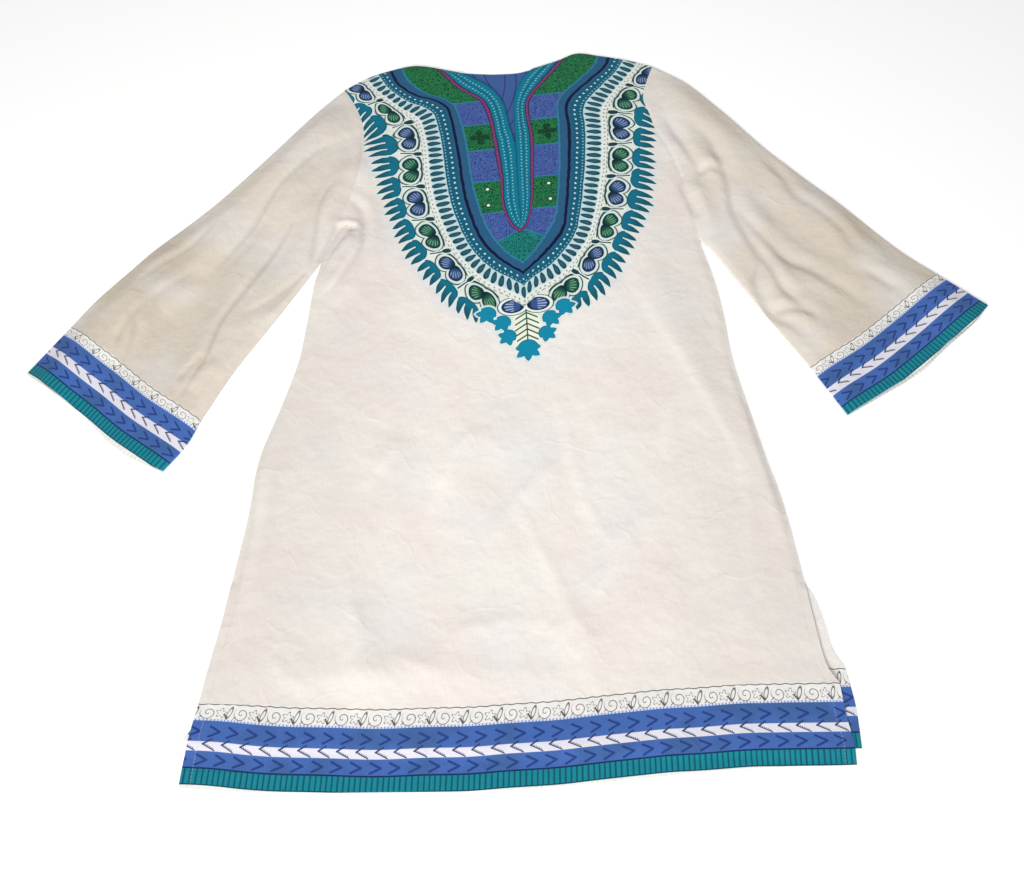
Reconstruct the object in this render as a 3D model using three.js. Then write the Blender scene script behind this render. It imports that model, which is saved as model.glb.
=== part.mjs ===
// A dashiki tunic dress of white cotton, laid flat on a surface with its front up.
// Millimetres. x runs across, positive towards the wearer's left side, y runs up the garment
// towards the neck and z up from the surface. The origin is on the surface, under the middle of
// the garment's box. The tables measure as a dressmaker does: "across" from the middle line and
// "down" from the highest point of the shoulder.
import * as THREE from "three";
import { mergeVertices } from "three/addons/utils/BufferGeometryUtils.js";

// ---- driving sizes ----
const LENGTH = 957; // shoulder to hem
const WALL = 1.5; // one layer of cloth with its seam allowance
const SEAM_GAP = 0.3; // between two pieces at a seam, and between layers that lie on each other
const UPPER_LAYER = WALL + SEAM_GAP; // height at which the upper layer's underside lies
const FOLD_ROUND = 1.0; // how far a folded sleeve edge rounds in at its top and bottom
const TURN_ROUND = 0.6; // the same inside the fold
const CUFF_PEEK = 3.5; // how far the under layer of the left cuff shows past the upper one

// ---- how finely each stretch is divided ----
const PANEL_COLUMNS = 12; // centre line to side seam
const BACK_COLUMNS = 6;
const ARMHOLE_ROWS = 14;
const SIDE_ROWS = 26; // border seam to underarm
const BACK_SIDE_ROWS = 8;
const SLIT_ROWS = 6; // the closed part of the neck slit
const NECK_ROWS = 7; // the open part, up to the shoulder
const BORDER_ROWS = 3;
const SLEEVE_SECTIONS = 18;
const CUFF_SECTIONS = 3;

// ---- finishes ----
const WHITE_COTTON = { color: 0xece7e1, roughness: 0.9, metalness: 0 };
const BORDER_PRINT = { color: 0x4468b0, roughness: 0.85, metalness: 0 };

// ---- the front panel's edges ----
const FRONT_CENTRE = [ // from the border seam up to the foot of the neck slit
  { across: 0, down: 880.5 },
  { across: 8, down: 700 },
  { across: 12, down: 500 },
  { across: 7, down: 383 },
  { across: 5, down: 306 },
];
const NECK_SLIT = [ // where the two edges lie closed
  { across: 5, down: 306 },
  { across: 1, down: 241 },
  { across: -2, down: 174 },
];
const NECK_EDGE_LEFT = [
  { across: -2, down: 174 },
  { across: -4, down: 120 },
  { across: -4, down: 98 },
  { across: -1, down: 76 },
  { across: 4, down: 58 },
  { across: 13, down: 42 },
  { across: 21, down: 31 },
];
const NECK_EDGE_RIGHT = [
  { across: -2, down: 174 },
  { across: -10, down: 139 },
  { across: -17, down: 102 },
  { across: -25, down: 84 },
  { across: -36, down: 69 },
  { across: -52, down: 56 },
  { across: -70, down: 44 },
  { across: -85, down: 36 },
];
const SHOULDER_LEFT = [
  { across: 21, down: 31 },
  { across: 56, down: 15 },
  { across: 84, down: 0 },
  { across: 112, down: 4 },
  { across: 152, down: 13 },
  { across: 187, down: 25 },
];
const SHOULDER_RIGHT = [
  { across: -85, down: 36 },
  { across: -110, down: 30 },
  { across: -140, down: 26 },
  { across: -172, down: 34 },
  { across: -205, down: 50 },
  { across: -233, down: 73 },
];
const ARMHOLE_LEFT = [ // from the underarm up
  { across: 221, down: 330 },
  { across: 212, down: 249 },
  { across: 196, down: 181 },
  { across: 182, down: 148 },
  { across: 177, down: 121 },
  { across: 170, down: 90 },
  { across: 174, down: 66 },
  { across: 187, down: 25 },
];
const ARMHOLE_RIGHT = [
  { across: -235, down: 364 },
  { across: -219, down: 306 },
  { across: -203, down: 240 },
  { across: -199, down: 190 },
  { across: -203, down: 140 },
  { across: -217, down: 102 },
  { across: -233, down: 73 },
];
const SIDE_LEFT_UPPER = [ // from the top of the side slit up to the underarm
  { across: 282, down: 763 },
  { across: 271.5, down: 669 },
  { across: 262.5, down: 627 },
  { across: 252.5, down: 568 },
  { across: 242.5, down: 506 },
  { across: 238.5, down: 440 },
  { across: 232, down: 388 },
  { across: 221, down: 330 },
];
const SIDE_RIGHT_UPPER = [
  { across: -283, down: 763 },
  { across: -277, down: 695 },
  { across: -274.5, down: 630 },
  { across: -259.5, down: 568 },
  { across: -246.5, down: 506 },
  { across: -243, down: 457 },
  { across: -240, down: 400 },
  { across: -235, down: 364 },
];
const FRONT_SLIT_LEFT = [ // from the border seam up, before the seam begins
  { across: 299.5, down: 862 },
  { across: 291, down: 848 },
  { across: 285, down: 802 },
];
const FRONT_SLIT_RIGHT = [
  { across: -296.5, down: 881 },
  { across: -292, down: 842 },
  { across: -287, down: 806 },
];
const FRONT_BORDER_SEAM = [ // from the right edge to the left one
  { across: -296.5, down: 881 },
  { across: -220, down: 883 },
  { across: -117, down: 885.5 },
  { across: 0, down: 880.5 },
  { across: 141, down: 867.5 },
  { across: 250, down: 862 },
  { across: 299.5, down: 862 },
];
const FRONT_HEM = [
  { across: -303, down: 953.5 },
  { across: -246, down: 957 },
  { across: -103, down: 957 },
  { across: 0, down: 955 },
  { across: 69, down: 949.5 },
  { across: 200, down: 938 },
  { across: 304, down: 934 },
];
const FRONT_BORDER_END_LEFT = [ // from the hem up
  { across: 304, down: 934 },
  { across: 304, down: 915 },
  { across: 301, down: 892 },
  { across: 299.5, down: 862 },
];
const FRONT_BORDER_END_RIGHT = [
  { across: -303, down: 953.5 },
  { across: -302.5, down: 935 },
  { across: -301, down: 915 },
  { across: -296.5, down: 881 },
];

// ---- the back panel's edges: it lies under the front and shows past it at the side slits ----
const BACK_CENTRE = [
  { across: 0, down: 846 },
  { across: 12, down: 500 },
  { across: 5, down: 306 },
  { across: -12, down: 150 },
  { across: -33, down: 40.5 },
];
const BACK_NECK_LEFT = [ // from the centre line to the shoulder
  { across: -33, down: 40.5 },
  { across: 0, down: 38 },
  { across: 21, down: 31 },
];
const BACK_NECK_RIGHT = [
  { across: -33, down: 40.5 },
  { across: -62, down: 39 },
  { across: -85, down: 36 },
];
const BACK_SLIT_LEFT = [
  { across: 308.5, down: 848 },
  { across: 300, down: 831 },
  { across: 296.5, down: 806.5 },
  { across: 289.5, down: 777 },
];
const BACK_SLIT_RIGHT = [
  { across: -289, down: 840 },
  { across: -285, down: 806 },
  { across: -283, down: 780 },
];
const BACK_BORDER_SEAM = [
  { across: -289, down: 840 },
  { across: 0, down: 846 },
  { across: 308.5, down: 848 },
];
const BACK_HEM = [
  { across: -307, down: 914 },
  { across: 0, down: 920 },
  { across: 311, down: 920 },
];
const BACK_BORDER_END_LEFT = [
  { across: 311, down: 920 },
  { across: 312, down: 882 },
  { across: 308.5, down: 848 },
];
const BACK_BORDER_END_RIGHT = [
  { across: -307, down: 914 },
  { across: -298.5, down: 900 },
  { across: -293, down: 876 },
  { across: -289, down: 840 },
];

// ---- the sleeves' folded edges, their border seams and the cuff edges ----
const SLEEVE_LEFT = {
  armhole: ARMHOLE_LEFT,
  peek: CUFF_PEEK,
  over: [ // the upper fold, from the shoulder to the border seam
    { across: 187, down: 25 },
    { across: 232, down: 60 },
    { across: 270, down: 107 },
    { across: 333, down: 194 },
    { across: 403, down: 275 },
    { across: 465, down: 351 },
    { across: 499, down: 383 },
  ],
  under: [ // the underarm fold
    { across: 221, down: 330 },
    { across: 239, down: 355 },
    { across: 257, down: 388 },
    { across: 295, down: 457 },
    { across: 328, down: 514 },
  ],
  borderSeam: [
    { across: 499, down: 383 },
    { across: 451, down: 421 },
    { across: 398, down: 465 },
    { across: 328, down: 514 },
  ],
  cuffOver: [
    { across: 499, down: 383 },
    { across: 549, down: 429 },
  ],
  cuffUnder: [
    { across: 328, down: 514 },
    { across: 359, down: 575 },
  ],
  cuffEdge: [
    { across: 549, down: 429 },
    { across: 522, down: 456 },
    { across: 487, down: 483 },
    { across: 455, down: 513 },
    { across: 412, down: 541 },
    { across: 359, down: 575 },
  ],
};
const SLEEVE_RIGHT = {
  armhole: ARMHOLE_RIGHT,
  peek: 0,
  over: [
    { across: -233, down: 73 },
    { across: -260, down: 107 },
    { across: -319, down: 194 },
    { across: -376, down: 275 },
    { across: -439, down: 351 },
    { across: -492, down: 422 },
    { across: -513, down: 459 },
  ],
  under: [
    { across: -235, down: 364 },
    { across: -247, down: 388 },
    { across: -283, down: 457 },
    { across: -318, down: 522 },
    { across: -344, down: 582 },
  ],
  borderSeam: [
    { across: -513, down: 459 },
    { across: -449, down: 506 },
    { across: -405, down: 540 },
    { across: -344, down: 582 },
  ],
  cuffOver: [
    { across: -513, down: 459 },
    { across: -549, down: 523 },
  ],
  cuffUnder: [
    { across: -344, down: 582 },
    { across: -355, down: 613 },
    { across: -374, down: 643 },
  ],
  cuffEdge: [
    { across: -549, down: 523 },
    { across: -508, down: 549 },
    { across: -477, down: 573 },
    { across: -439, down: 608 },
    { across: -413, down: 626 },
    { across: -374, down: 643 },
  ],
};

// ---- the largest folds: soft ridges along a bent line, in millimetres like the edges ----
// from, by way of and to are [across, down]. wide is half the ridge's width and high its height.
const FOLDS = [
  // left sleeve
  { from: [218, 80], by: [262, 215], to: [300, 391], wide: 24, high: 9 },
  { from: [296, 394], by: [330, 380], to: [392, 408], wide: 20, high: 6 },
  { from: [190, 166], by: [228, 190], to: [262, 226], wide: 18, high: 6 },
  { from: [300, 430], by: [345, 442], to: [362, 492], wide: 20, high: 5 },
  { from: [380, 284], by: [410, 340], to: [408, 388], wide: 22, high: 5 },
  { from: [228, 236], by: [226, 270], to: [238, 330], wide: 16, high: 6 },
  // right sleeve
  { from: [-190, 205], by: [-240, 236], to: [-246, 350], wide: 20, high: 7 },
  { from: [-304, 346], by: [-340, 460], to: [-364, 550], wide: 22, high: 8 },
  { from: [-421, 340], by: [-446, 400], to: [-447, 510], wide: 20, high: 6 },
  { from: [-375, 388], by: [-436, 430], to: [-450, 482], wide: 18, high: 4 },
  { from: [-256, 130], by: [-285, 240], to: [-300, 330], wide: 24, high: 5 },
  // body
  { from: [-191, 310], by: [-200, 370], to: [-226, 425], wide: 18, high: 6 },
  { from: [147, 350], by: [185, 470], to: [225, 612], wide: 24, high: 5 },
  { from: [-128, 600], by: [-136, 625], to: [-152, 646], wide: 20, high: 3 },
  { from: [-58, 600], by: [-70, 640], to: [-86, 668], wide: 22, high: 3 },
  { from: [40, 628], by: [24, 654], to: [4, 678], wide: 20, high: 3 },
  { from: [40, 794], by: [58, 812], to: [68, 838], wide: 20, high: 3 },
  { from: [-156, 780], by: [-158, 835], to: [-130, 880], wide: 20, high: 4 },
  { from: [-70, 824], by: [-27, 806], to: [16, 824], wide: 18, high: 3 },
  { from: [162, 742], by: [146, 780], to: [126, 810], wide: 20, high: 3 },
  { from: [-240, 856], by: [-90, 846], to: [10, 856], wide: 18, high: 4 },
  { from: [-258, 600], by: [-262, 700], to: [-274, 800], wide: 18, high: 3 },
  { from: [250, 560], by: [262, 660], to: [276, 740], wide: 18, high: 3 },
];
const FOLD_STEPS = 8; // straight pieces that stand for a fold's line
const FOLD_END = 0.3; // share of a fold's length over which each end dies away

// ---- plan points and curves ----
const place = (across, down) => new THREE.Vector2(across, LENGTH / 2 - down);

function evenly(rows, steps) {
  const knots = rows.map((row) => new THREE.Vector3(row.across, LENGTH / 2 - row.down, 0));
  const curve = new THREE.CatmullRomCurve3(knots);
  return curve.getSpacedPoints(steps).map((point) => new THREE.Vector2(point.x, point.y));
}

// Joins stretches end to end; each starts where the one before it ends.
function chain(...stretches) {
  return stretches.flatMap((points, index) => (index === 0 ? points : points.slice(1)));
}

// Moves a line sideways: to its right, going from its first point to its last, if distance > 0.
function beside(points, distance) {
  return points.map((point, index) => {
    const before = points[Math.max(index - 1, 0)];
    const after = points[Math.min(index + 1, points.length - 1)];
    const along = after.clone().sub(before).normalize();
    return new THREE.Vector2(point.x + along.y * distance, point.y - along.x * distance);
  });
}

// A grid of plan points between four edges, which share their corners. grid[row][column].
function patch(bottom, top, first, last) {
  const columns = bottom.length - 1;
  const rows = first.length - 1;
  const grid = [];
  for (let row = 0; row <= rows; row += 1) {
    const up = row / rows;
    const line = [];
    for (let column = 0; column <= columns; column += 1) {
      const over = column / columns;
      const ruled = bottom[column].clone().multiplyScalar(1 - up).addScaledVector(top[column], up);
      ruled.addScaledVector(first[row], 1 - over).addScaledVector(last[row], over);
      ruled.addScaledVector(bottom[0], -(1 - over) * (1 - up));
      ruled.addScaledVector(bottom[columns], -over * (1 - up));
      ruled.addScaledVector(top[0], -(1 - over) * up);
      ruled.addScaledVector(top[columns], -over * up);
      line.push(ruled);
    }
    grid.push(line);
  }
  return grid;
}

// ---- height of the upper layer above where it would lie flat ----
const foldLines = FOLDS.map((fold) => {
  const bend = new THREE.QuadraticBezierCurve(place(...fold.from), place(...fold.by), place(...fold.to));
  return { ...fold, points: bend.getSpacedPoints(FOLD_STEPS) };
});

function liftOfFold(fold, point) {
  let nearest = Infinity;
  let share = 0;
  for (let step = 0; step < FOLD_STEPS; step += 1) {
    const start = fold.points[step];
    const along = fold.points[step + 1].clone().sub(start);
    const offset = point.clone().sub(start);
    const t = THREE.MathUtils.clamp(offset.dot(along) / along.lengthSq(), 0, 1);
    const distance = offset.addScaledVector(along, -t).length();
    if (distance < nearest) {
      nearest = distance;
      share = (step + t) / FOLD_STEPS;
    }
  }
  const swell = THREE.MathUtils.smoothstep(Math.min(share, 1 - share), -FOLD_END / 2, FOLD_END);
  return fold.high * swell * Math.exp(-((nearest / fold.wide) ** 2));
}

function lift(point) {
  return foldLines.reduce((sum, fold) => sum + liftOfFold(fold, point), 0);
}

// ---- solids ----
function solid(corners, name, finish) {
  const raw = new THREE.BufferGeometry();
  raw.setAttribute("position", new THREE.Float32BufferAttribute(corners.flat(), 3));
  const geometry = mergeVertices(raw, 1e-3);
  geometry.computeVertexNormals();
  const mesh = new THREE.Mesh(geometry, new THREE.MeshStandardMaterial(finish));
  mesh.name = name;
  return mesh;
}

function addQuad(corners, a, b, c, d) {
  corners.push(a, b, c, a, c, d);
}

const keyOf = (point) => `${point.x.toFixed(3)},${point.y.toFixed(3)}`;

// A layer of cloth over plan grids: a wall whose underside is at floor(point).
function layer(name, finish, grids, floor) {
  const corners = [];
  const edges = new Map();
  const low = (point) => [point.x, point.y, floor(point)];
  const high = (point) => [point.x, point.y, floor(point) + WALL];
  for (const grid of grids) {
    for (let row = 0; row + 1 < grid.length; row += 1) {
      for (let column = 0; column + 1 < grid[row].length; column += 1) {
        const quad = [grid[row][column], grid[row][column + 1], grid[row + 1][column + 1], grid[row + 1][column]];
        if (THREE.ShapeUtils.area(quad) < 0) quad.reverse();
        addQuad(corners, ...quad.map(high));
        addQuad(corners, ...quad.map(low).reverse());
        quad.forEach((start, index) => {
          const end = quad[(index + 1) % 4];
          edges.set(`${keyOf(start)} ${keyOf(end)}`, [start, end]);
        });
      }
    }
  }
  // An edge that no neighbour runs along the other way is on the rim.
  for (const [start, end] of edges.values()) {
    if (!edges.has(`${keyOf(end)} ${keyOf(start)}`)) {
      addQuad(corners, low(start), low(end), high(end), high(start));
    }
  }
  return solid(corners, name, finish);
}

// One section of a flattened tube: the outer and inner ring over a line of plan points.
// peek moves the under layer's points out past the upper layer's.
function tubeSection(line, peek) {
  const last = line.length - 1;
  const inward = (index, distance) => {
    if (index !== 0 && index !== last) return line[index].clone();
    const neighbour = index === 0 ? line[1] : line[last - 1];
    return line[index].clone().add(neighbour.clone().sub(line[index]).setLength(distance));
  };
  const order = line.map((_, index) => index);
  const back = [...order].reverse();
  const at = (point, height) => [point.x, point.y, height];
  const top = (index) => UPPER_LAYER + WALL + lift(line[index]);
  const out = (index, distance) => inward(index, distance).add(peek[index]);
  const ring = (inset, nose, floorHeight, below) => [
    ...order.map((index) => at(out(index, inset), floorHeight)),
    at(inward(last, nose), (floorHeight + top(last) - below) / 2),
    ...back.map((index) => at(inward(index, inset), top(index) - below)),
    at(inward(0, nose), (floorHeight + top(0) - below) / 2),
  ];
  return {
    outer: ring(FOLD_ROUND, 0, 0, 0),
    inner: ring(WALL + FOLD_ROUND, WALL + FOLD_ROUND - TURN_ROUND, WALL, WALL),
  };
}

// A flattened tube of cloth through sections, open at both ends.
function tube(name, finish, grid, peekAtEnd) {
  const still = grid[0].map(() => new THREE.Vector2());
  const sections = grid.map((line, index) => tubeSection(line, index === grid.length - 1 ? peekAtEnd : still));
  const corners = [];
  const count = sections[0].outer.length;
  const wrap = (index) => (index + 1) % count;
  const turned = THREE.ShapeUtils.area([grid[0][0], grid[0].at(-1), grid[1].at(-1), grid[1][0]]) < 0;
  const add = (...quad) => addQuad(corners, ...(turned ? quad : quad.reverse()));
  for (let index = 0; index < count; index += 1) {
    for (let step = 0; step + 1 < sections.length; step += 1) {
      const near = sections[step];
      const far = sections[step + 1];
      add(near.outer[index], near.outer[wrap(index)], far.outer[wrap(index)], far.outer[index]);
      add(far.inner[index], far.inner[wrap(index)], near.inner[wrap(index)], near.inner[index]);
    }
    const start = sections[0];
    const end = sections.at(-1);
    add(start.inner[index], start.inner[wrap(index)], start.outer[wrap(index)], start.outer[index]);
    add(end.outer[index], end.outer[wrap(index)], end.inner[wrap(index)], end.inner[index]);
  }
  return solid(corners, name, finish);
}

// ---- the body ----
const onSurface = () => 0;
const onBack = (point) => UPPER_LAYER + lift(point);

function frontHalf(side) {
  const leftSide = side > 0;
  const slitEdge = (point) => new THREE.Vector2(point.x + (side * SEAM_GAP) / 2, point.y);
  const slit = evenly(NECK_SLIT, SLIT_ROWS);
  const opening = evenly(leftSide ? NECK_EDGE_LEFT : NECK_EDGE_RIGHT, NECK_ROWS);
  const belowSlit = SIDE_ROWS + ARMHOLE_ROWS - SLIT_ROWS - NECK_ROWS;
  const shoulder = evenly(leftSide ? SHOULDER_LEFT : SHOULDER_RIGHT, PANEL_COLUMNS);
  const apart = chain(slit, opening).map((point, index, all) => {
    return index === 0 || index === all.length - 1 ? point : slitEdge(point);
  });
  const seam = frontSeamHalf(side);
  const middle = chain(evenly(FRONT_CENTRE, belowSlit), apart);
  middle[0] = seam[0];
  const lower = leftSide ? [...FRONT_SLIT_LEFT, ...SIDE_LEFT_UPPER] : [...FRONT_SLIT_RIGHT, ...SIDE_RIGHT_UPPER];
  const edge = chain(evenly(lower, SIDE_ROWS), evenly(leftSide ? ARMHOLE_LEFT : ARMHOLE_RIGHT, ARMHOLE_ROWS));
  return patch(seam, shoulder, middle, edge);
}

// The border seam from the centre line to one side.
function frontSeamHalf(side) {
  const whole = evenly(FRONT_BORDER_SEAM, 2 * PANEL_COLUMNS);
  return side > 0 ? whole.slice(PANEL_COLUMNS) : whole.slice(0, PANEL_COLUMNS + 1).reverse();
}

function backHalf(side) {
  const leftSide = side > 0;
  const whole = evenly(BACK_BORDER_SEAM, 2 * BACK_COLUMNS);
  const seam = leftSide ? whole.slice(BACK_COLUMNS) : whole.slice(0, BACK_COLUMNS + 1).reverse();
  const neck = evenly(leftSide ? BACK_NECK_LEFT : BACK_NECK_RIGHT, 2);
  const shoulder = evenly(leftSide ? SHOULDER_LEFT : SHOULDER_RIGHT, BACK_COLUMNS - 2);
  const middle = evenly(BACK_CENTRE, BACK_SIDE_ROWS + ARMHOLE_ROWS);
  middle[0] = whole[BACK_COLUMNS];
  const lower = leftSide ? [...BACK_SLIT_LEFT, ...SIDE_LEFT_UPPER] : [...BACK_SLIT_RIGHT, ...SIDE_RIGHT_UPPER];
  const armhole = evenly(leftSide ? ARMHOLE_LEFT : ARMHOLE_RIGHT, ARMHOLE_ROWS);
  const edge = chain(evenly(lower, BACK_SIDE_ROWS), armhole);
  return patch(seam, chain(neck, shoulder), middle, edge);
}

function hemBorder(name, seamRows, hemRows, endLeft, endRight, columns, floor) {
  const seam = beside(evenly(seamRows, columns), SEAM_GAP);
  const ends = [endRight, endLeft].map((rows) => evenly(rows, BORDER_ROWS));
  ends[0][BORDER_ROWS] = seam[0];
  ends[1][BORDER_ROWS] = seam.at(-1);
  return layer(name, BORDER_PRINT, [patch(evenly(hemRows, columns), seam, ...ends)], floor);
}

// ---- the sleeves, with the printed borders at their ends ----
function sleeveAndCuff(shape, side, sleeveName, cuffName) {
  const armhole = beside(evenly(shape.armhole, ARMHOLE_ROWS).reverse(), -side * SEAM_GAP);
  const seam = evenly(shape.borderSeam, ARMHOLE_ROWS);
  const over = evenly(shape.over, SLEEVE_SECTIONS);
  const under = evenly(shape.under, SLEEVE_SECTIONS);
  over[0] = armhole[0];
  under[0] = armhole.at(-1);
  const sleeveGrid = patch(armhole, seam, over, under);
  const cuffTop = beside(seam, -side * SEAM_GAP);
  const cuffOver = evenly(shape.cuffOver, CUFF_SECTIONS);
  const cuffUnder = evenly(shape.cuffUnder, CUFF_SECTIONS);
  cuffOver[0] = cuffTop[0];
  cuffUnder[0] = cuffTop.at(-1);
  const cuffEdge = evenly(shape.cuffEdge, ARMHOLE_ROWS);
  const cuffGrid = patch(cuffTop, cuffEdge, cuffOver, cuffUnder);
  const peek = cuffEdge.map((point, index) => {
    const outward = point.clone().sub(cuffGrid[CUFF_SECTIONS - 1][index]).normalize();
    return outward.multiplyScalar(shape.peek * Math.sin((Math.PI * index) / ARMHOLE_ROWS));
  });
  const still = peek.map(() => new THREE.Vector2());
  return [
    tube(sleeveName, WHITE_COTTON, sleeveGrid, still),
    tube(cuffName, BORDER_PRINT, cuffGrid, peek),
  ];
}

const dress = new THREE.Group();
dress.add(layer("front_panel", WHITE_COTTON, [frontHalf(1), frontHalf(-1)], onBack));
dress.add(layer("back_panel", WHITE_COTTON, [backHalf(1), backHalf(-1)], onSurface));
dress.add(
  hemBorder(
    "front_hem_border",
    FRONT_BORDER_SEAM,
    FRONT_HEM,
    FRONT_BORDER_END_LEFT,
    FRONT_BORDER_END_RIGHT,
    2 * PANEL_COLUMNS,
    onBack,
  ),
);
dress.add(
  hemBorder(
    "back_hem_border",
    BACK_BORDER_SEAM,
    BACK_HEM,
    BACK_BORDER_END_LEFT,
    BACK_BORDER_END_RIGHT,
    2 * BACK_COLUMNS,
    onSurface,
  ),
);
dress.add(...sleeveAndCuff(SLEEVE_LEFT, 1, "sleeve_left", "cuff_border_left"));
dress.add(...sleeveAndCuff(SLEEVE_RIGHT, -1, "sleeve_right", "cuff_border_right"));

export default dress;
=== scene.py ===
# A dashiki tunic dress of white cotton, laid flat with its front up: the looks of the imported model.
# Outlines, folds and creases are in millimetres, as a dressmaker measures: "across" from the middle
# line, positive towards the wearer's left side, and "down" from the highest point of the shoulder.
import math

import bpy
import numpy as np
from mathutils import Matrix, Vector, kdtree, noise


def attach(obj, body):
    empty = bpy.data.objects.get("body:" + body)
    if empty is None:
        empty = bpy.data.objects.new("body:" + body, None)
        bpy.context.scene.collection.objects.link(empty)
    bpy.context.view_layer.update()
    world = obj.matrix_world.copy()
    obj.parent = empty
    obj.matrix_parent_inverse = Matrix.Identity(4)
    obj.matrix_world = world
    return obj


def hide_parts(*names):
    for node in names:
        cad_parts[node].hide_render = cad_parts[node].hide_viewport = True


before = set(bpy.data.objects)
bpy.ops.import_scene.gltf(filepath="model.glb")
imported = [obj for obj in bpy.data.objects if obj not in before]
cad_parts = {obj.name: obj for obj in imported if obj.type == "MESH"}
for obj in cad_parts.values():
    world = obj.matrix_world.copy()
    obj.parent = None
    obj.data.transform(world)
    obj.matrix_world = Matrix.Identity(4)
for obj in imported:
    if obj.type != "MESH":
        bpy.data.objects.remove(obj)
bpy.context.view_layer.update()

# ---- driving sizes, in millimetres ----
LENGTH = 957  # shoulder to hem
CLOTH = 0.7  # thickness of the cotton
UPPER_TOP = 3.3  # height of the upper layer's face where it lies flat
BACK_TOP = 0.9  # the same for the layer on the floor
FOLD_EDGE = 1.6  # height of the nose of a folded sleeve edge
CUFF_PEEK = 3.5  # how far the under layer of the left cuff shows past the upper one
MILLIMETRE = 0.001
LEFT, RIGHT = 1, -1  # the wearer's sides, which outlines are kept by

# ---- how finely each stretch is divided ----
FINE = 8  # steps for each one of the solids
PANEL_COLUMNS = 12 * FINE
ARMHOLE_ROWS = 14 * FINE
SIDE_ROWS = 26 * FINE
SLIT_ROWS = 6 * FINE
NECK_ROWS = 7 * FINE
BACK_COLUMNS = 36
BACK_NECK_COLUMNS = 12
BACK_SIDE_ROWS = 80
BACK_ARMHOLE_ROWS = 40
BORDER_ROWS = 24
SLEEVE_COLUMNS = 100
SLEEVE_SECTIONS = 150
CUFF_SECTIONS = 22
UNDER_COLUMNS = 36  # the sleeve's lower layer
LEAST_GAP = 1e-4  # between two points of a curve

# ---- edges as (across, down) ----
FRONT_CENTRE = [(0, 880.5), (8, 700), (12, 500), (7, 383), (5, 306)]
NECK_SLIT = [(5, 306), (1, 241), (-2, 174)]
NECK_MIDDLE = [(-2, 174), (-8, 130), (-20, 80), (-33, 40.5), (-40, 10)]
NECK_EDGE = {
    LEFT: [(-2, 174), (-4, 120), (-4, 98), (-1, 76), (4, 58), (13, 42), (21, 31)],
    RIGHT: [(-2, 174), (-10, 139), (-17, 102), (-25, 84), (-36, 69), (-52, 56), (-70, 44), (-85, 36)],
}
SHOULDER = {
    LEFT: [(21, 31), (56, 15), (84, 0), (112, 4), (152, 13), (187, 25)],
    RIGHT: [(-85, 36), (-110, 30), (-140, 26), (-172, 34), (-205, 50), (-233, 73)],
}
ARMHOLE = {
    LEFT: [(221, 330), (212, 249), (196, 181), (182, 148), (177, 121), (170, 90), (174, 66), (187, 25)],
    RIGHT: [(-235, 364), (-219, 306), (-203, 240), (-199, 190), (-203, 140), (-217, 102), (-233, 73)],
}
SIDE = {
    LEFT: [
        (282, 763), (271.5, 669), (262.5, 627), (252.5, 568), (242.5, 506), (238.5, 440), (232, 388),
        (221, 330),
    ],
    RIGHT: [
        (-283, 763), (-277, 695), (-274.5, 630), (-259.5, 568), (-246.5, 506), (-243, 457), (-240, 400),
        (-235, 364),
    ],
}
FRONT_SLIT = {
    LEFT: [(299.5, 862), (291, 848), (285, 802)],
    RIGHT: [(-296.5, 881), (-292, 842), (-287, 806)],
}
FRONT_BORDER_SEAM = [
    (-296.5, 881), (-220, 883), (-117, 885.5), (0, 880.5), (141, 867.5), (250, 862), (299.5, 862),
]
FRONT_HEM = [(-303, 953.5), (-246, 957), (-103, 957), (0, 955), (69, 949.5), (200, 938), (304, 934)]
FRONT_BORDER_END = {
    LEFT: [(304, 934), (304, 915), (301, 892), (299.5, 862)],
    RIGHT: [(-303, 953.5), (-302.5, 935), (-301, 915), (-296.5, 881)],
}
BACK_CENTRE = [(0, 846), (12, 500), (5, 306), (-12, 150), (-33, 40.5)]
BACK_NECK = {
    LEFT: [(-33, 40.5), (0, 38), (21, 31)],
    RIGHT: [(-33, 40.5), (-62, 39), (-85, 36)],
}
BACK_SLIT = {
    LEFT: [(308.5, 848), (300, 831), (296.5, 806.5), (289.5, 777)],
    RIGHT: [(-289, 840), (-285, 806), (-283, 780)],
}
BACK_BORDER_SEAM = [(-289, 840), (0, 846), (308.5, 848)]
BACK_HEM = [(-307, 914), (0, 920), (311, 920)]
BACK_BORDER_END = {
    LEFT: [(311, 920), (312, 882), (308.5, 848)],
    RIGHT: [(-307, 914), (-298.5, 900), (-293, 876), (-289, 840)],
}
SLEEVE = {
    LEFT: {
        "over": [(187, 25), (232, 60), (270, 107), (333, 194), (403, 275), (465, 351), (499, 383)],
        "under": [(221, 330), (239, 355), (257, 388), (295, 457), (328, 514)],
        "border_seam": [(499, 383), (451, 421), (398, 465), (328, 514)],
        "cuff_over": [(499, 383), (549, 429)],
        "cuff_under": [(328, 514), (359, 575)],
        "cuff_edge": [(549, 429), (522, 456), (487, 483), (455, 513), (412, 541), (359, 575)],
        "peek": CUFF_PEEK,
        "puff": 0.55,
    },
    RIGHT: {
        "over": [(-233, 73), (-260, 107), (-319, 194), (-376, 275), (-439, 351), (-492, 422), (-513, 459)],
        "under": [(-235, 364), (-247, 388), (-283, 457), (-318, 522), (-344, 582)],
        "border_seam": [(-513, 459), (-449, 506), (-405, 540), (-344, 582)],
        "cuff_over": [(-513, 459), (-549, 523)],
        "cuff_under": [(-344, 582), (-355, 613), (-374, 643)],
        "cuff_edge": [(-549, 523), (-508, 549), (-477, 573), (-439, 608), (-413, 626), (-374, 643)],
        "peek": 0,
        "puff": 1.0,
    },
}

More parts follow.
